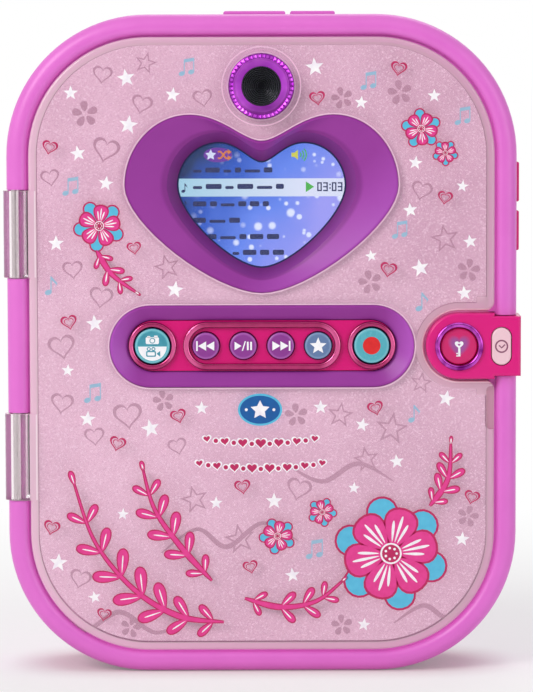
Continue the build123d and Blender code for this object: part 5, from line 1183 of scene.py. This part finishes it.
def cap_mark(name, node, loops, layer, finish):
    """Ink on the front of one round button, which moves with it."""
    shape = bmesh.new()
    for loop in loops:
        slab(shape, loop, CAP_FRONT_Y - INK_STEP * layer, CAP_FRONT_Y - INK_STEP * (layer - 1) + TINY_OVERLAP)
    return piece(name, shape, node, finish)


def half_disc(x, z, radius, side):
    return [
        (x + radius * math.cos(a), z + side * radius * math.sin(a))
        for a in (math.radians(d) for d in range(0, 181, 10))
    ]


cap_mark("photo_half", "photo_video_button", [half_disc(-END_CAP_X, ROW_Z + 0.05, 4.9, 1)], 1, teal_mark)
cap_mark("video_half", "photo_video_button", [half_disc(-END_CAP_X, ROW_Z - 0.15, 4.75, -1)], 1, white_mark)
camera_x, camera_z = -END_CAP_X, ROW_Z + 2.05
cap_mark("camera_body_mark", "photo_video_button", [
    bar_loop(camera_x - 2.2, camera_x + 2.2, camera_z - 1.35, camera_z + 0.95, 0.3),
], 2, white_mark)
cap_mark("camera_bump_mark", "photo_video_button", [
    bar_loop(camera_x - 1.7, camera_x - 0.7, camera_z + 0.8, camera_z + 1.35, 0.1),
    bar_loop(camera_x + 0.6, camera_x + 1.8, camera_z + 0.8, camera_z + 1.5, 0.1),
], 2, white_mark)
lens_mark = bmesh.new()
band(
    lens_mark, oval_loop(camera_x, camera_z - 0.2, 1.9, 1.9), oval_loop(camera_x, camera_z - 0.2, 1.35, 1.35),
    CAP_FRONT_Y - 3 * INK_STEP, CAP_FRONT_Y - 2 * INK_STEP + TINY_OVERLAP,
)
piece("camera_lens_mark", lens_mark, "photo_video_button", teal_mark)
reel_x, reel_z = -END_CAP_X - 0.4, ROW_Z - 2.55
video_mark = bmesh.new()
for x in (reel_x - 0.8, reel_x + 0.75):
    band(
        video_mark, oval_loop(x, reel_z + 1.6, 1.35, 1.35), oval_loop(x, reel_z + 1.6, 0.7, 0.7),
        CAP_FRONT_Y - 2 * INK_STEP, CAP_FRONT_Y - INK_STEP + TINY_OVERLAP,
    )
band(
    video_mark, bar_loop(reel_x - 1.7, reel_x + 1.6, reel_z - 1.0, reel_z + 0.95, 0.3),
    bar_loop(reel_x - 1.3, reel_x + 1.2, reel_z - 0.6, reel_z + 0.55, 0.2),
    CAP_FRONT_Y - 2.3 * INK_STEP, CAP_FRONT_Y - INK_STEP + TINY_OVERLAP,
)
slab(
    video_mark, [(reel_x + 1.75, reel_z), (reel_x + 3.0, reel_z + 0.95), (reel_x + 3.0, reel_z - 0.95)],
    CAP_FRONT_Y - 2 * INK_STEP, CAP_FRONT_Y - INK_STEP + TINY_OVERLAP,
)
piece("video_camera_mark", video_mark, "photo_video_button", teal_mark)


def arrow(x, z, width, height, side):
    """A triangle that points right for side 1 and left for side -1, with its base at x."""
    return [(x, z - height / 2), (x + side * width, z), (x, z + height / 2)]


for name, middle, side in (("previous", -1.5 * CAP_PITCH, -1), ("next", 0.5 * CAP_PITCH, 1)):
    marks = [arrow(middle - side * 2.8, ROW_Z, 2.7, 3.1, side), arrow(middle - side * 0.1, ROW_Z, 2.7, 3.1, side)]
    edge = middle + side * 2.7
    marks.append(bar_loop(min(edge, edge + side * 0.55), max(edge, edge + side * 0.55), ROW_Z - 1.65, ROW_Z + 1.65))
    cap_mark(name + "_mark", name + "_button", marks, 1, white_mark)
middle = -0.5 * CAP_PITCH
cap_mark("play_pause_mark", "play_pause_button", [
    arrow(middle - 2.9, ROW_Z, 2.3, 2.8, 1),
    [(middle - 0.5, ROW_Z - 1.6), (middle - 0.1, ROW_Z - 1.6), (middle + 0.9, ROW_Z + 1.6), (middle + 0.5, ROW_Z + 1.6)],
    bar_loop(middle + 1.2, middle + 1.8, ROW_Z - 1.4, ROW_Z + 1.4),
    bar_loop(middle + 2.3, middle + 2.9, ROW_Z - 1.4, ROW_Z + 1.4),
], 1, white_mark)
cap_mark("favourite_mark", "favourite_button", [star_loop(1.5 * CAP_PITCH, ROW_Z - 0.1, 2.9, 0, 5, 0.45)], 1, white_mark)
cap_mark("record_mark", "record_button", [oval_loop(END_CAP_X, ROW_Z, 5.9, 5.9, 0, 40)], 1, red_mark)

# ---------------------------------------------------------------- camera lens
# A plated ring whose rim is cut into small bright facets, a flat front glass, and behind it a
# black tube with fine turned ridges that stop stray light. The camera block closes the tube.
LENS_RING_FRONT_Y = -25.0
FACET_COUNT = 44
FACET_R = (9.3, 10.0, 10.72)
FACET_RISE = 0.28
FACET_SINK = 0.03
RIDGE_PITCH = 0.62
CHROME_BRIGHT = srgb(214, 100, 232)
CHROME_DEEP = srgb(150, 40, 170)
FACET_VALLEY_SHADE = srgb(112, 18, 128)
LENS_SHADE = srgb(88, 10, 102)
LENS_BLACK = srgb(20, 20, 22)


def plated(name, colour, second, roughness, metallic=1.0):
    """Vacuum plated plastic: tinted metal with an unevenness under a clear lacquer, which drifts by noise between two
    tints and is a painted reflection where the second is much darker.
    """
    metal = Finish(name, Metallic=metallic)
    metal.tint = metal.mix(metal.ramp(metal.noise(5.0), 0.35, 0.65), colour, second)
    metal.feed("Base Color", metal.tint)
    metal.feed("Roughness", metal.noise(1.5) * 0.06 + roughness)
    metal.bump(metal.noise(2.5), 0.01)
    return metal


# The facets' points are painted bright and their valleys dark, painted highlights and painted shade, over a
# bright-to-deep drift that is painted reflection.
cut_rim = plated("cut_facets", CHROME_BRIGHT, CHROME_DEEP, 0.1)
x, z = cut_rim.axis("X"), cut_rim.axis("Z") - LENS_AXIS_Z
place = z.math_with("ARCTAN2", x) * (FACET_COUNT / (2 * math.pi))
off_middle = abs(place.math_with("FRACT") - 0.5) * 2.0
off_ring = abs((x * x + z * z).math_with("SQRT") - FACET_R[1]) / (FACET_R[1] - FACET_R[0])
facet_point_highlight = cut_rim.ramp(off_middle.math_with("MAXIMUM", off_ring), 0.95, 0.45)
cut_rim.feed("Base Color", cut_rim.mix(facet_point_highlight, FACET_VALLEY_SHADE, cut_rim.tint))
funnel = plated("lens_ring_plating", srgb(222, 104, 240), srgb(204, 84, 226), 0.16, 0.5)
# The ring's funnel is painted darker towards its lower side: painted shade.
painted_lower_shade = funnel.ramp(funnel.axis("Z") - LENS_AXIS_Z - funnel.axis("X") * 0.35, -3.5, -8.0)
funnel.feed("Base Color", funnel.mix(painted_lower_shade * 0.6, funnel.tint, LENS_SHADE))
dress(funnel, "lens_ring")
# The key ring's second tint is much darker, so its drift is painted reflection.
dress(plated("key_ring_plating", srgb(212, 92, 214), srgb(126, 24, 124), 0.08), "key_button_ring")
facets = bmesh.new()
for step in range(FACET_COUNT):
    rows = []
    for radius, share, rise in (
        (FACET_R[0], 0.0, 0.0), (FACET_R[0], 1.0, 0.0), (FACET_R[2], 1.0, 0.0), (FACET_R[2], 0.0, 0.0),
        (FACET_R[1], 0.5, FACET_RISE),
    ):
        angle = 2 * math.pi * (step + share) / FACET_COUNT
        front = LENS_RING_FRONT_Y + FACET_SINK - rise
        rows.append(facets.verts.new((radius * math.cos(angle), front, LENS_AXIS_Z + radius * math.sin(angle))))
    for here in range(4):
        facets.faces.new((rows[here], rows[(here + 1) % 4], rows[4]))
    facets.faces.new((rows[3], rows[2], rows[1], rows[0]))
piece("lens_ring_facets", facets, "base", cut_rim)

coated = Finish("lens_front_glass", Roughness=0.03)
coated.feed("Base Color", coated.mix(coated.noise(4.0), srgb(24, 22, 30), srgb(30, 30, 38)))
coated.feed("Coat Weight", 0.3)
see_through = coated.node("ShaderNodeBsdfTransparent", {}, {"Color": srgb(240, 240, 244)})
glint = coated.node("ShaderNodeBsdfGlossy", {}, {"Color": srgb(230, 220, 255), "Roughness": 0.03})
outside = 1.0 - coated.node("ShaderNodeNewGeometry", {}, {}, "Backfacing")
away_share = coated.node("ShaderNodeFresnel", {}, {"IOR": ACRYLIC_IOR}) * outside
glass = coated.node("ShaderNodeMixShader", {}, {0: away_share, 1: see_through, 2: glint})
tinted = coated.node("ShaderNodeMixShader", {}, {0: 0.1, 1: glass, 2: Value(coated, coated.shader.outputs[0])})
coated.join(tinted, coated.tree.nodes["Material Output"].inputs["Surface"])
dress(coated, "lens_glass")

turned = Finish("turned_black_tube", Roughness=0.22)
x, z = turned.axis("X"), turned.axis("Z") - LENS_AXIS_Z
radius = (x * x + z * z).math_with("SQRT")
turn = radius * (2 * math.pi / RIDGE_PITCH)
ridge = turn.math_with("SINE") * 0.5 + 0.5
# The ridge crests are painted lighter: painted highlights on the turned ridges.
turned.feed("Base Color", turned.mix(ridge ** 3, srgb(24, 26, 24), srgb(104, 112, 106)))
turned.bump(ridge, 0.12)
dress(turned, "lens_barrel")
matt_black = moulded("matt_black", LENS_BLACK, srgb(28, 28, 30), 0.55)
dress(matt_black, "camera_module", "microphone", "audio_jack", "power_switch")

# ---------------------------------------------------------------- lock
# A gloss magenta cover clips over the rim. It carries a plated ring, a round key button with a
# soft purple heart and a white key, and a pale pill-shaped button with a clock face.
LOCK_MAGENTA = srgb(226, 18, 126)
LOCK_ROSE = srgb(218, 26, 128)
KEY_X = 65.6
KEY_FRONT_Y = -24.1
KEY_RED = srgb(214, 30, 112)
KEY_HEART_PURPLE = srgb(146, 84, 160)
KEY_HEART_WIDTH = 6.4
CLOCK_X = 79.7
CLOCK_FRONT_Y = -24.7
CLOCK_PINK = srgb(244, 206, 216)
CLOCK_BROWN = srgb(140, 74, 108)

lock_gloss = moulded("lock_gloss", LOCK_MAGENTA, LOCK_ROSE, 0.22, grain=0.8, depth=0.004)
lock_gloss.feed("Specular IOR Level", 0.35)
dress(lock_gloss, "lock_housing")

key_face = moulded("key_button_face", KEY_RED, srgb(206, 26, 104), 0.24, grain=0.8, depth=0.004)
side = abs(key_face.axis("X") - KEY_X) * (2 / KEY_HEART_WIDTH)
up = (key_face.axis("Z") - (ROW_Z - 0.2)) * (2 / KEY_HEART_WIDTH)
lobe = up * 1.15 - side.math_with("SQRT") * 0.8 + 0.25
heart_field = side * side + lobe * lobe
heart_share = key_face.ramp(heart_field, 1.5, 0.5) * 0.85
key_face.feed("Base Color", key_face.mix(heart_share, key_face.tint, KEY_HEART_PURPLE))
dress(key_face, "key_button")

key_mark = bmesh.new()
bow, hole = heart_loop(KEY_X, ROW_Z + 0.35, 2.9), heart_loop(KEY_X, ROW_Z + 0.45, 0.9)
front, back = KEY_FRONT_Y - INK_STEP, KEY_FRONT_Y + TINY_OVERLAP
band(key_mark, bow, hole, front, back)
slab(key_mark, bar_loop(KEY_X - 0.32, KEY_X + 0.42, ROW_Z - 3.4, ROW_Z - 0.6), front - TINY_OVERLAP, back)
for top in (2.2, 3.0):
    slab(key_mark, bar_loop(KEY_X - 0.95, KEY_X - 0.2, ROW_Z - top - 0.4, ROW_Z - top), front - TINY_OVERLAP, back)
piece("key_mark", key_mark, "key_button", white_mark)

clock_cap = moulded("clock_button_cap", CLOCK_PINK, srgb(238, 196, 208), 0.3, grain=0.8, depth=0.004)
dress(clock_cap, "clock_button")
brown_mark = printed_ink("brown_mark_ink", CLOCK_BROWN, srgb(130, 68, 100))
clock_mark = bmesh.new()
front, back = CLOCK_FRONT_Y - INK_STEP, CLOCK_FRONT_Y + TINY_OVERLAP
band(
    clock_mark, oval_loop(CLOCK_X, ROW_Z, 4.4, 4.4, 0, 36), oval_loop(CLOCK_X, ROW_Z, 3.4, 3.4, 0, 36), front, back,
)
hands = [(CLOCK_X - 0.85, ROW_Z + 0.35), (CLOCK_X, ROW_Z - 0.5), (CLOCK_X + 1.15, ROW_Z + 0.6)]
stroke(clock_mark, hands, [0.45] * 3, front, back)
piece("clock_mark", clock_mark, "clock_button", brown_mark)

# ---------------------------------------------------------------- side buttons
# Two volume buttons in the lock's magenta stand out of the right side.
dress(gloss_magenta, "volume_up_button", "volume_down_button")

# ---------------------------------------------------------------- under the lid
# The console panel and the tray are satin pink and lilac mouldings. The notebook has a laminated
# card cover with a repeat of small hearts, and a block of uncoated pages.
CONSOLE_PINK = srgb(236, 150, 206)
TRAY_LILAC = srgb(186, 150, 214)
CARD_PINK = srgb(234, 96, 168)
CARD_MARK = srgb(255, 232, 242)
CARD_PITCH = 9.0
CARD_HEART = 3.2
PAGE_WHITE = srgb(246, 240, 234)
PAGE_PITCH = 0.22

dress(moulded("console_satin", CONSOLE_PINK, srgb(228, 140, 198), 0.4), "console_panel")
dress(moulded("tray_satin", TRAY_LILAC, srgb(176, 140, 206), 0.42), "storage_tray")

card = Finish("notebook_card", Roughness=0.25)
column = card.axis("X") * (1 / CARD_PITCH)
line = card.axis("Z") * (1 / CARD_PITCH)
odd = (line.math_with("FLOOR") * 0.5).math_with("FRACT")
across_cell = (column + odd).math_with("FRACT") - 0.5
up_cell = line.math_with("FRACT") - 0.5
side = abs(across_cell) * (2 * CARD_PITCH / CARD_HEART)
lobe = up_cell * (2.3 * CARD_PITCH / CARD_HEART) - side.math_with("SQRT") * 0.8 + 0.2
on_heart = card.ramp(side * side + lobe * lobe, 1.05, 0.95)
card_tint = card.mix(card.noise(20.0, 3.0), CARD_PINK, srgb(226, 84, 158))
card.feed("Base Color", card.mix(on_heart, card_tint, CARD_MARK))
card.bump(card.noise(0.5), 0.01)
dress(card, "notebook_cover")

paper_edge = Finish("page_paper", Roughness=0.85)
layer = paper_edge.axis("Y") * (1 / PAGE_PITCH)
sheet_line = abs(layer.math_with("FRACT") - 0.5) * 2
paper_edge.feed("Base Color", paper_edge.mix(sheet_line * 0.5, PAGE_WHITE, srgb(206, 196, 190)))
paper_edge.bump(sheet_line, 0.04)
dress(paper_edge, "notebook_pages")

# ---------------------------------------------------------------- batteries
# Four AA cells lie across the bay, each the other way round from the next. Their printed sleeve
# is plain teal with a silver band at the plus end. Contacts are nickel plated sheet and wire.
CELL_PITCH = 15.2
BAY_BOTTOM_Z = 22.0
CELL_HALF = 24.6
BAND_WIDTH = 9.0
SLEEVE_TEAL = srgb(36, 120, 132)
SLEEVE_SILVER = srgb(196, 200, 206)

sleeve = Finish("cell_sleeve", Roughness=0.3)
row = (sleeve.axis("Z") - BAY_BOTTOM_Z) * (1 / CELL_PITCH)
turned_over = ((row.math_with("FLOOR") * 0.5).math_with("FRACT") > 0.25) * 2 - 1
toward_plus = sleeve.axis("X") * turned_over
on_band = toward_plus > (CELL_HALF - BAND_WIDTH)
on_metal = abs(sleeve.axis("X")) > (CELL_HALF - 1.0)
sleeve_tint = sleeve.mix(sleeve.noise(4.0, 3.0), SLEEVE_TEAL, srgb(30, 108, 122))
sleeve.feed("Base Color", sleeve.mix(on_metal, sleeve.mix(on_band, sleeve_tint, SLEEVE_SILVER), STEEL))
sleeve.feed("Metallic", on_band.math_with("MAXIMUM", on_metal))
sleeve.bump(sleeve.noise(0.8), 0.01)
dress(sleeve, "batteries")
dress(brushed_steel("nickel_contacts", 1), "battery_contacts", "usb_socket")

# ---------------------------------------------------------------- boards and small works
# Green boards with tinned tracks and pads, a grey silicone switch mat, the lock's coil in its
# steel yoke and a paper-coned loudspeaker on its foam ring.
BOARD_GREEN = srgb(28, 104, 62)
BOARD_DEEP = srgb(18, 78, 48)
TRACK_TIN = srgb(176, 180, 172)
MAT_GREY = srgb(158, 160, 166)
PAD_PITCH = 12.5
COIL_COPPER = srgb(186, 104, 58)
CONE_BLACK = srgb(34, 34, 38)
SPEAKER_X, SPEAKER_Z = -38.0, 165.0


def circuit(name):
    """A solder masked board: tracks on a fine grid, and round tinned pads."""
    board = Finish(name, Roughness=0.38)
    flat = board.node("ShaderNodeCombineXYZ", {}, {0: board.axis("X") + board.axis("Y"), 1: board.axis("Z")})
    tracks = board.node(
        "ShaderNodeTexBrick", {"offset": 0.37},
        {"Vector": flat, "Scale": 1.0, "Mortar Size": 0.14, "Brick Width": 4.6, "Row Height": 1.5}, 1,
    )
    pads = board.node("ShaderNodeTexVoronoi", {}, {"Vector": flat, "Scale": 1 / 3.2})
    on_pad = board.ramp(pads, 0.2, 0.14)
    mask = board.mix(tracks, BOARD_GREEN, BOARD_DEEP)
    board.feed("Base Color", board.mix(on_pad, mask, TRACK_TIN))
    board.feed("Metallic", on_pad)
    board.bump(tracks, 0.03)
    return board


dress(circuit("green_board"), "main_board", "button_board", "lock_board", "volume_board")

mat = moulded("silicone_mat", MAT_GREY, srgb(148, 150, 156), 0.6)
pad_place = mat.axis("X") * (1 / PAD_PITCH)
pad_gap = abs(pad_place.math_with("FRACT") - 0.5)
mat.feed("Base Color", mat.mix(mat.ramp(pad_gap, 0.16, 0.14), mat.tint, srgb(120, 122, 130)))
dress(mat, "keypad_membrane")

coil = Finish("coil_winding", Metallic=1.0)
wire = coil.axis("X") * 3.0
wound = abs(wire.math_with("FRACT") - 0.5) * 2
coil.feed("Base Color", coil.mix(wound, COIL_COPPER, STEEL_DARK))
coil.feed("Roughness", wound * 0.2 + 0.25)
coil.bump(wound, 0.05)
dress(coil, "lock_solenoid")

cone = Finish("speaker_cone", Roughness=0.7)
x, z = cone.axis("X") - SPEAKER_X, cone.axis("Z") - SPEAKER_Z
radius = (x * x + z * z).math_with("SQRT")
rib = (radius * 4.0).math_with("SINE") * 0.5 + 0.5
on_cap = cone.ramp(radius, 5.2, 4.8)
cone.feed("Base Color", cone.mix(on_cap, cone.mix(rib, CONE_BLACK, srgb(52, 52, 56)), srgb(96, 96, 102)))
cone.bump(rib, 0.08)
dress(cone, "speaker")

foam = Finish("open_foam", Roughness=0.95)
cells = foam.node("ShaderNodeTexVoronoi", {}, {"Vector": foam.mm, "Scale": 1 / 0.6})
foam.feed("Base Color", foam.mix(cells, srgb(14, 14, 15), srgb(48, 48, 50)))
foam.bump(cells, 0.15)
dress(foam, "speaker_gasket")
